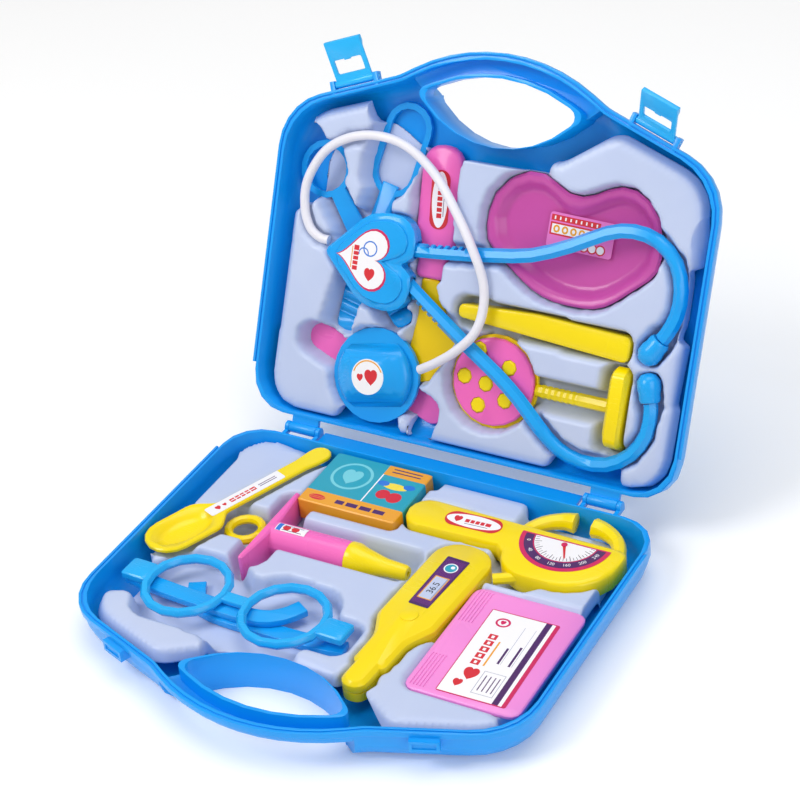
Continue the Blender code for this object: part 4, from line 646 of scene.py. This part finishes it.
def gaugeSticker():
    plan = gaugeDial
    steps = 40
    radius, top = plan["radius"], plan["flat"]
    turns = [math.pi + math.pi * k / steps for k in range(steps + 1)]
    points = [(radius * math.cos(a), radius * math.sin(a) + top) for a in turns]
    design = Print("dialPrint", inks["white"], 0.28)
    u, v = design.x, design.y - top * 100
    reach = (u * u + v * v).maths("SQRT", u * u + v * v)
    design.ink(reach > 1.78, inks["purple"])
    design.ink(reach > 2.36, inks["magenta"])
    design.ink((reach < 1.86) * (reach > 1.80), inks["magenta"])
    angle = v.maths("ARCTAN2", v, u)
    ticks = (angle * (27 / math.pi)).maths("FRACT", angle * (27 / math.pi))
    design.ink((ticks < 0.16) * (reach > 1.50) * (reach < 1.74), inks["black"])
    long = (angle * (9 / math.pi)).maths("FRACT", angle * (9 / math.pi))
    design.ink((long < 0.07) * (reach > 1.36) * (reach < 1.74), inks["black"])
    design.ink(v > -0.10, inks["magenta"])
    place = basePlace(plan["x"], plan["r"], plan["depth"]) @ stickerLift
    outlinePatch("dialFace", points, sheetThickness, design.finish(), place, "gauge")
    for k in range(plan["numbers"]):
        turn = math.pi * (1.10 + 0.80 * k / (plan["numbers"] - 1))
        ring = radius * 0.80
        spot = Matrix.Translation((ring * math.cos(turn), ring * math.sin(turn) + top, sheetThickness))
        spot = place @ spot @ Matrix.Rotation(turn + math.pi / 2, 4, "Z")
        numberPiece("dialNumber" + str(k), str(40 * k), 0.0030, spot, "gauge", plainInk["white"])
    needle = [(-0.0009, 0.001), (-0.0004, -0.0118), (0.0004, -0.0118), (0.0009, 0.001)]
    spot = place @ Matrix.Translation((0, top - 0.0035, sheetThickness)) @ Matrix.Rotation(math.radians(24), 4, "Z")
    outlinePatch("dialNeedle", needle, 0.0002, plainInk["red"], spot, "gauge")
    hub = [(0.0017 * math.cos(a), 0.0017 * math.sin(a)) for a in (2 * math.pi * k / 20 for k in range(20))]
    outlinePatch("needleHub", hub, 0.0004, plainInk["magenta"], spot, "gauge")


handleSticker = {"x": 0.0370, "r": 0.0345, "wide": 0.034, "high": 0.0125}


def gaugeHandleSticker():
    design = Print("handlePrint", inks["red"])
    design.ink(design.disc(0, 0, 1.62, 0.54), inks["white"])
    design.ink(design.heart(-0.95, -0.05, 0.24), inks["red"])
    design.ink(design.bar(-0.50, 1.05, -0.15, 0.13), inks["red"])
    for cut in (-0.24, 0.06, 0.36, 0.66):
        design.ink(design.bar(cut, cut + 0.07, -0.2, 0.2), inks["white"])
    design.ink(design.bar(-0.45, 0.95, -0.30, -0.26), inks["purple"])
    place = basePlace(handleSticker["x"], handleSticker["r"], gaugeDial["depth"], 2) @ stickerLift
    roundedPatch(
        "handleSticker",
        handleSticker["wide"],
        handleSticker["high"],
        handleSticker["high"] * 0.49,
        sheetThickness,
        design.finish(), place, "gauge",
    )


cardLabel = {"x": 0.0978, "r": 0.1265, "depth": 0.0055, "wide": 0.039, "high": 0.068}


def cardSticker():
    design = Print("cardPrint", inks["magenta"], 0.25)
    design.ink(design.bar(-1.90, 1.72, -3.34, 3.34), inks["white"])
    design.ink(design.bar(1.18, 1.52, -3.34, 3.34), inks["purple"])
    design.ink(design.heart(-1.15, -2.55, 0.26), inks["red"])
    design.ink(design.heart(-0.80, -1.75, 0.42), inks["red"])
    for k, low in enumerate((-0.95, -0.42, 0.10, 0.62, 1.14)):
        design.ink(design.bar(-1.20, -0.72, low, low + 0.40), inks["red"])
        design.ink(design.bar(-1.04, -0.88, low + 0.10, low + 0.30), inks["white"])
    design.ink(design.bar(-0.50, -0.40, -0.90, 1.10), inks["orange"])
    design.ink(design.disc(-0.95, 2.55, 0.42, 0.36), inks["magenta"])
    design.ink(design.disc(-0.95, 2.55, 0.30, 0.24), inks["white"])
    design.ink(design.heart(-0.95, 2.52, 0.15), inks["magenta"])
    for left, long in ((0.10, 1.3), (0.72, 1.6)):
        design.ink(design.bar(left, left + 0.13, -0.50, -0.50 + long), inks["purple"])
        design.ink(design.bar(left + 0.20, left + 0.23, -0.50, 2.60), inks["grey"])
    design.ink(design.bar(-0.20, 1.02, -2.95, -1.20), inks["grey"])
    design.ink(design.bar(-0.16, 0.98, -2.91, -1.24), inks["white"])
    for left in (0.02, 0.28, 0.54, 0.78):
        design.ink(design.bar(left, left + 0.06, -2.70, -1.50), inks["purple"])
    place = basePlace(cardLabel["x"], cardLabel["r"], cardLabel["depth"], 1) @ stickerLift
    roundedPatch(
        "cardLabel", cardLabel["wide"], cardLabel["high"], 0.0012, sheetThickness,
        design.finish(), place, "id_card",
    )


spoonSticker()
syringeSticker()
thermometerSticker()
gaugeSticker()
gaugeHandleSticker()
cardSticker()
print("stage: stickers in the base")


# stickers on the instruments in the lid
def heartOutline(length, wide, notch, steps=40):
    points = []
    for k in range(steps):
        a = 2 * math.pi * k / steps
        along = 13 * math.cos(a) - 5 * math.cos(2 * a) - 2 * math.cos(3 * a) - math.cos(4 * a)
        side = 16 * math.sin(a) ** 3
        points.append((along * length / 29 + notch, side * wide / 32))
    return points


yokeSticker = {"x": -0.0735, "r": 0.1000, "depth": 0.0010, "length": 0.0345, "wide": 0.0365}


def yokeHeart():
    plan = yokeSticker
    edge = heartOutline(plan["length"], plan["wide"], 0.0030)
    face = heartOutline(plan["length"] * 0.93, plan["wide"] * 0.93, 0.0028)
    design = Print("yokePrint", inks["white"])
    design.ink(design.heart(0.62, -0.95, 0.34), inks["red"])
    ring = design.disc(0.50, 0.62, 0.46) - design.disc(0.50, 0.62, 0.38)
    design.ink(ring, inks["blue"])
    tail = design.disc(0.10, 0.30, 0.34) - design.disc(0.10, 0.30, 0.27)
    design.ink(tail * (design.y > 0.20), inks["blue"])
    design.ink(design.bar(-0.55, -0.22, -0.75, 0.70), inks["red"])
    for cut in (-0.50, -0.22, 0.06, 0.34):
        design.ink(design.bar(-0.56, -0.20, cut, cut + 0.06), inks["white"])
    design.ink(design.bar(-0.68, -0.62, -0.65, 0.60), inks["orange"])
    place = lidPlace(plan["x"], plan["r"], plan["depth"]) @ stickerLift
    outlinePatch("yokeStickerEdge", edge, sheetThickness, plainInk["magenta"], place, "stethoscope")
    place = place @ Matrix.Translation((0, 0, sheetThickness * 0.6))
    outlinePatch("yokeStickerFace", face, sheetThickness, design.finish(), place, "stethoscope")


chestSticker = {"x": -0.0595, "r": 0.0325, "depth": 0.0005, "radius": 0.0105}


def chestDisc():
    plan = chestSticker
    design = Print("chestPrint", inks["white"])
    design.ink(design.heart(0.22, -0.12, 0.42), inks["red"])
    design.ink(design.heart(-0.50, -0.10, 0.20), inks["red"])
    rim = design.disc(0, 0, 0.98) - design.disc(0, 0, 0.90)
    design.ink(rim * (design.y > 0.30), inks["orange"])
    turns = [math.pi * k / 18 for k in range(36)]
    points = [(plan["radius"] * math.cos(a), plan["radius"] * math.sin(a)) for a in turns]
    place = lidPlace(plan["x"], plan["r"], plan["depth"], 8) @ stickerLift
    outlinePatch("chestSticker", points, sheetThickness, design.finish(), place, "stethoscope")


scalpelLabel = {"x": -0.0345, "r": 0.1400, "depth": 0.0130, "wide": 0.034, "high": 0.0118}


def scalpelSticker():
    plan = scalpelLabel
    design = Print("scalpelPrint", inks["red"])
    design.ink(design.disc(0, 0, 1.60, 0.50), inks["white"])
    design.ink(design.bar(-1.05, 0.75, -0.16, 0.16), inks["red"])
    for cut in (-0.78, -0.46, -0.14, 0.18, 0.50):
        design.ink(design.bar(cut, cut + 0.08, -0.2, 0.2), inks["white"])
    design.ink(design.heart(1.12, -0.03, 0.22), inks["red"])
    design.ink(design.bar(-0.95, 0.70, -0.28, -0.24), inks["purple"])
    place = lidPlace(plan["x"], plan["r"], plan["depth"], 94) @ stickerLift
    roundedPatch(
        "scalpelSticker", plan["wide"], plan["high"], plan["high"] * 0.49, sheetThickness,
        design.finish(), place, "lid",
    )


dishSticker = {"x": 0.0530, "r": 0.1345, "floor": 0.0184, "wide": 0.040, "high": 0.020}


def dishLabel():
    plan = dishSticker
    design = Print("dishPrint", rgb(240, 124, 204))
    design.ink(design.bar(-1.9, 1.1, 0.52, 0.86), inks["red"])
    for k in range(9):
        cut = -1.72 + 0.32 * k
        design.ink(design.bar(cut, cut + 0.09, 0.60, 0.78), inks["white"])
    design.ink(design.bar(-1.9, 1.0, -0.28, 0.44), inks["red"])
    design.ink(design.bar(-1.8, 0.9, -0.18, 0.34), inks["white"])
    for k in range(5):
        cut = -1.68 + 0.52 * k
        design.ink(design.disc(cut + 0.18, 0.08, 0.20, 0.22), inks["orange"])
        design.ink(design.disc(cut + 0.18, 0.08, 0.09, 0.11), inks["white"])
    for k in range(4):
        design.ink(design.disc(-0.20 + 0.5 * k, -0.62, 0.30), inks["red"])
        design.ink(design.disc(-0.20 + 0.5 * k, -0.62, 0.22), inks["white"])
    place = lidPlace(plan["x"], plan["r"], plan["floor"] - 0.0018, -1.5)
    roundedPatch(
        "dishSticker", plan["wide"], plan["high"], 0.002, sheetThickness, design.finish(), place, "lid"
    )


yokeHeart()
chestDisc()
scalpelSticker()
dishLabel()
print("stage: stickers in the lid")

# formed trays: a fine grid pressed down on the tray and softened, as the hot sheet is over its mould
traySheet = {
    "wide": 0.256,
    "long": 0.196,
    "spacing": 0.00125,
    "middle": 0.0985,
    "start": 0.03,
    "missed": 0.001,
    "soften": 4,
    "softness": 0.45,
    "holeSides": 80,
    "peel": 4,
    "rimLow": 0.0009,
    "merge": 0.000002,
    "level": 0.00005,
    "farPull": 0.0075,
    "slopeStep": 0.0008,
    "footDepth": 0.0205,
    "evenRim": 10,
    "rimSoftness": 0.5,
    "rimSoften": 3,
    "rings": 5,
    "ringStep": 0.0021,
    "thickness": 0.0006,
}


def outerWall(source, place):  # the tray's sloping outer wall alone, to pull the sheet's edge onto
    made = bpy.data.objects.new("outerWall", source.data.copy())
    bpy.context.collection.objects.link(made)
    deselectAll()
    made.select_set(True)
    bpy.context.view_layer.objects.active = made
    bpy.ops.object.mode_set(mode="EDIT")
    bpy.ops.mesh.select_all(action="SELECT")
    bpy.ops.mesh.remove_doubles(threshold=traySheet["merge"])
    bpy.ops.mesh.select_all(action="DESELECT")
    bpy.ops.object.mode_set(mode="OBJECT")
    inward = place.inverted()
    points = [inward @ vertex.co for vertex in made.data.vertices]
    top = max(point.z for point in points)
    skirt = max(points, key=lambda point: abs(point.x)).z
    onTop = [abs(point.z - top) < traySheet["level"] for point in points]
    onSkirt = [abs(point.z - skirt) < traySheet["level"] for point in points]
    bpy.ops.object.mode_set(mode="EDIT")
    bpy.ops.mesh.select_mode(type="FACE")
    bpy.ops.object.mode_set(mode="OBJECT")
    for face in made.data.polygons:
        corners = face.vertices
        rimFace = any(onTop[k] for k in corners) and any(onSkirt[k] for k in corners)
        face.select = not (rimFace and all(onTop[k] or onSkirt[k] for k in corners))
    bpy.ops.object.mode_set(mode="EDIT")
    bpy.ops.mesh.delete(type="FACE")
    bpy.ops.mesh.select_mode(type="VERT")
    bpy.ops.object.mode_set(mode="OBJECT")
    return made


def selectEdge():  # the sheet's open edge, in edit mode
    bpy.ops.mesh.select_all(action="DESELECT")
    bpy.ops.mesh.select_non_manifold(
        use_wire=False, use_multi_face=False, use_non_contiguous=False, use_verts=False
    )


def pullOnto(made, wall, low):  # brings the selected points above a height of their own to the wall
    bpy.ops.object.mode_set(mode="OBJECT")
    picked = [vertex.index for vertex in made.data.vertices if vertex.select and vertex.co.z > low]
    group = made.vertex_groups.new(name="edge")
    group.add(picked, 1.0, "REPLACE")
    pull = made.modifiers.new("pull", "SHRINKWRAP")
    pull.target = wall
    pull.wrap_method = "NEAREST_SURFACEPOINT"
    pull.vertex_group = group.name
    before = [made.data.vertices[k].co.copy() for k in picked]
    bpy.context.view_layer.objects.active = made
    bpy.ops.object.modifier_apply(modifier="pull")
    made.vertex_groups.clear()
    for k, spot in zip(picked, before):  # where a recess has cut the wall away
        if (made.data.vertices[k].co - spot).length > traySheet["farPull"]:
            made.data.vertices[k].co = spot
    bpy.ops.object.mode_set(mode="EDIT")


def softTray(nodeName, place, body):
    source = nodes[nodeName]
    wall = outerWall(source, place)
    down = place.to_3x3() @ Vector((0, 0, -1))
    deselectAll()
    across, along = (round(traySheet[k] / traySheet["spacing"]) for k in ("wide", "long"))
    bpy.ops.mesh.primitive_grid_add(x_subdivisions=across, y_subdivisions=along, size=1, location=(0, 0, 0))
    made = bpy.context.active_object
    made.name = nodeName + "Soft"
    made.scale = (traySheet["wide"], traySheet["long"], 1)
    bpy.ops.object.transform_apply(location=False, rotation=False, scale=True)
    made.matrix_world = place @ Matrix.Translation((0, 0, traySheet["start"]))
    press = made.modifiers.new("press", "SHRINKWRAP")
    press.target = source
    press.wrap_method = "PROJECT"
    press.use_project_z = True
    press.use_negative_direction = True
    press.use_positive_direction = False
    bpy.ops.object.modifier_apply(modifier="press")
    bpy.ops.object.mode_set(mode="EDIT")
    bpy.ops.mesh.select_all(action="DESELECT")
    bpy.ops.object.mode_set(mode="OBJECT")
    for vertex in made.data.vertices:  # the grid points that met no tray
        vertex.select = vertex.co.z > -traySheet["missed"]
    bpy.ops.object.mode_set(mode="EDIT")
    bpy.ops.mesh.select_mode(type="VERT")
    bpy.ops.mesh.delete(type="VERT")
    bpy.ops.mesh.select_all(action="SELECT")
    bpy.ops.mesh.fill_holes(sides=traySheet["holeSides"])
    bpy.ops.object.mode_set(mode="OBJECT")
    rimLow = max(vertex.co.z for vertex in made.data.vertices) - traySheet["rimLow"]
    bpy.ops.object.mode_set(mode="EDIT")
    for ring in range(traySheet["peel"]):  # the grid points that landed on the outer wall
        selectEdge()
        bpy.ops.object.mode_set(mode="OBJECT")
        points = made.data.vertices
        above = [vertex.co.z for vertex in points]
        for first, second in (edge.vertices for edge in made.data.edges):
            above[first] = max(above[first], points[second].co.z)
            above[second] = max(above[second], points[first].co.z)
        for vertex in points:
            onSlope = above[vertex.index] - vertex.co.z > traySheet["slopeStep"]
            vertex.select = vertex.select and vertex.co.z < rimLow and onSlope
        bpy.ops.object.mode_set(mode="EDIT")
        bpy.ops.mesh.delete(type="VERT")
    bpy.ops.mesh.select_all(action="SELECT")
    bpy.ops.mesh.vertices_smooth(factor=traySheet["softness"], repeat=traySheet["soften"])
    selectEdge()
    bpy.ops.mesh.vertices_smooth(factor=traySheet["rimSoftness"], repeat=traySheet["evenRim"])
    pullOnto(made, wall, rimLow - traySheet["rimLow"])
    for ring in range(traySheet["rings"]):
        selectEdge()
        bpy.ops.mesh.extrude_region_move(TRANSFORM_OT_translate={"value": down * traySheet["ringStep"]})
        pullOnto(made, wall, rimLow - traySheet["rimLow"] - traySheet["ringStep"] * (ring + 1))
    selectEdge()
    for ring in range(traySheet["rings"] + 1):
        bpy.ops.mesh.select_more()
    bpy.ops.mesh.vertices_smooth(factor=traySheet["softness"], repeat=traySheet["rimSoften"])
    bpy.ops.object.mode_set(mode="OBJECT")
    lowest = -traySheet["start"] - traySheet["footDepth"]
    for vertex in made.data.vertices:  # under a recess that runs out of the tray's side
        vertex.co.z = max(vertex.co.z, lowest)
    sheet = made.modifiers.new("sheet", "SOLIDIFY")
    sheet.thickness = traySheet["thickness"]
    sheet.offset = -1
    bpy.ops.object.modifier_apply(modifier="sheet")
    bpy.data.objects.remove(wall)
    made.data.materials.append(finishes["trayLavender"])
    for face in made.data.polygons:
        face.use_smooth = True
    settle(made, made.matrix_world.copy(), body)
    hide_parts(nodeName)


# x and r run from the middle of the plan; in the base r runs against y
softTray("base_tray", basePlace(0, traySheet["middle"], 0), "base")
softTray("lid_tray", lidPlace(0, traySheet["middle"], 0), "lid")
print("stage: formed trays")

# moulded pieces: each shows a merged copy of its CAD node, with soft shading
softEdges = {
    "merge": 0.000002,
    "flat": math.radians(0.4),
    "crease": math.radians(40),
    "edge": 0.0004,
    "edgeAngle": math.radians(42),
}
bevelled = (
    "base_shell", "lid_shell", "latch_left", "latch_right", "glasses_front", "glasses_temple_left",
    "glasses_temple_right", "syringe_barrel", "tweezers", "id_card", "thermometer_front", "gauge_front",
)


def softCopy(nodeName):
    source = nodes[nodeName]
    made = bpy.data.objects.new(nodeName + "Shown", source.data.copy())
    bpy.context.collection.objects.link(made)
    deselectAll()
    made.select_set(True)
    bpy.context.view_layer.objects.active = made
    bpy.ops.object.mode_set(mode="EDIT")
    bpy.ops.mesh.select_all(action="SELECT")
    bpy.ops.mesh.remove_doubles(threshold=softEdges["merge"])
    bpy.ops.mesh.dissolve_limited(angle_limit=softEdges["flat"])
    bpy.ops.object.mode_set(mode="OBJECT")
    if nodeName in bevelled:
        rounding = made.modifiers.new("edge", "BEVEL")
        rounding.width = softEdges["edge"]
        rounding.segments = 2
        rounding.limit_method = "ANGLE"
        rounding.angle_limit = softEdges["edgeAngle"]
        bpy.ops.object.modifier_apply(modifier="edge")
    bpy.ops.object.shade_smooth_by_angle(angle=softEdges["crease"])
    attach(made, source["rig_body"])
    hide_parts(nodeName)


for nodeName in nodeFinish:
    if nodeName not in ("base_tray", "lid_tray", "chest_tube"):
        softCopy(nodeName)
print("stage: moulded pieces")

# floor, lights and camera
studio = {
    "floorSize": 6.0,
    "floorColour": (0.98, 0.98, 0.98, 1),
    "floorGlow": 0.07,
    "keyEnergy": 14.5,
    "fillEnergy": 6.5,
    "topEnergy": 10.0,
    "worldStrength": 0.46,
    "cameraSpot": (0.5276, -0.7865, 0.7677),
    "azimuth": 31.88,
    "elevation": 33.87,
    "roll": -6.01,
    "lens": 100.5,
}


def makeFloor():
    deselectAll()
    bpy.ops.mesh.primitive_plane_add(size=studio["floorSize"], location=(0, 0, 0))
    floor = bpy.context.active_object
    floor.name = "studioFloor"
    made, shader, coords = startMaterial("studioFloor")
    place = Wire(coords.outputs["Object"])
    cloud = place.node("ShaderNodeTexNoise", None, {"Vector": place, "Scale": 1.4, "Detail": 2.0})
    feed(shader, "Base Color", mixColour(cloud, studio["floorColour"], (1, 1, 1, 1)))
    shader.inputs["Roughness"].default_value = 0.7
    shader.inputs["Emission Color"].default_value = (1, 1, 1, 1)
    shader.inputs["Emission Strength"].default_value = studio["floorGlow"]
    floor.data.materials.append(made)


def softLight(name, spot, target, size, energy):
    lamp = bpy.data.lights.new(name, "AREA")
    lamp.shape = "DISK"
    lamp.size = size
    lamp.energy = energy
    made = bpy.data.objects.new(name, lamp)
    bpy.context.collection.objects.link(made)
    aim = (Vector(target) - Vector(spot)).to_track_quat("-Z", "Y")
    made.matrix_world = Matrix.Translation(spot) @ aim.to_matrix().to_4x4()


def makeCamera():
    azimuth, elevation, roll = (math.radians(studio[k]) for k in ("azimuth", "elevation", "roll"))
    level = math.cos(elevation)
    back = Vector((math.sin(azimuth) * level, -math.cos(azimuth) * level, math.sin(elevation)))
    right = (-back).cross(Vector((0, 0, 1))).normalized()
    up = right.cross(-back).normalized()
    turnedRight = right * math.cos(roll) + up * math.sin(roll)
    turnedUp = up * math.cos(roll) - right * math.sin(roll)
    lens = bpy.data.cameras.new("photoCamera")
    lens.lens = studio["lens"]
    lens.sensor_width = 36
    lens.sensor_height = 36
    made = bpy.data.objects.new("photoCamera", lens)
    bpy.context.collection.objects.link(made)
    facing = Matrix((turnedRight, turnedUp, back)).transposed().to_4x4()
    made.matrix_world = Matrix.Translation(studio["cameraSpot"]) @ facing
    bpy.context.scene.camera = made


def makeWorld():
    world = bpy.data.worlds.new("studioWorld")
    world.use_nodes = True
    sky = world.node_tree.nodes["Background"]
    sky.inputs["Color"].default_value = (1, 1, 1, 1)
    sky.inputs["Strength"].default_value = studio["worldStrength"]
    bpy.context.scene.world = world
    bpy.context.scene.view_settings.view_transform = "Standard"


makeFloor()
softLight("keyLight", (-0.9, -0.9, 1.5), (0, 0.05, 0.05), 0.9, studio["keyEnergy"])
softLight("fillLight", (1.4, -0.8, 0.9), (0, 0.05, 0.08), 1.2, studio["fillEnergy"])
softLight("topLight", (0.1, 0.3, 1.7), (0, 0.05, 0.02), 1.4, studio["topEnergy"])
makeCamera()
makeWorld()
print("stage: floor, lights and camera")
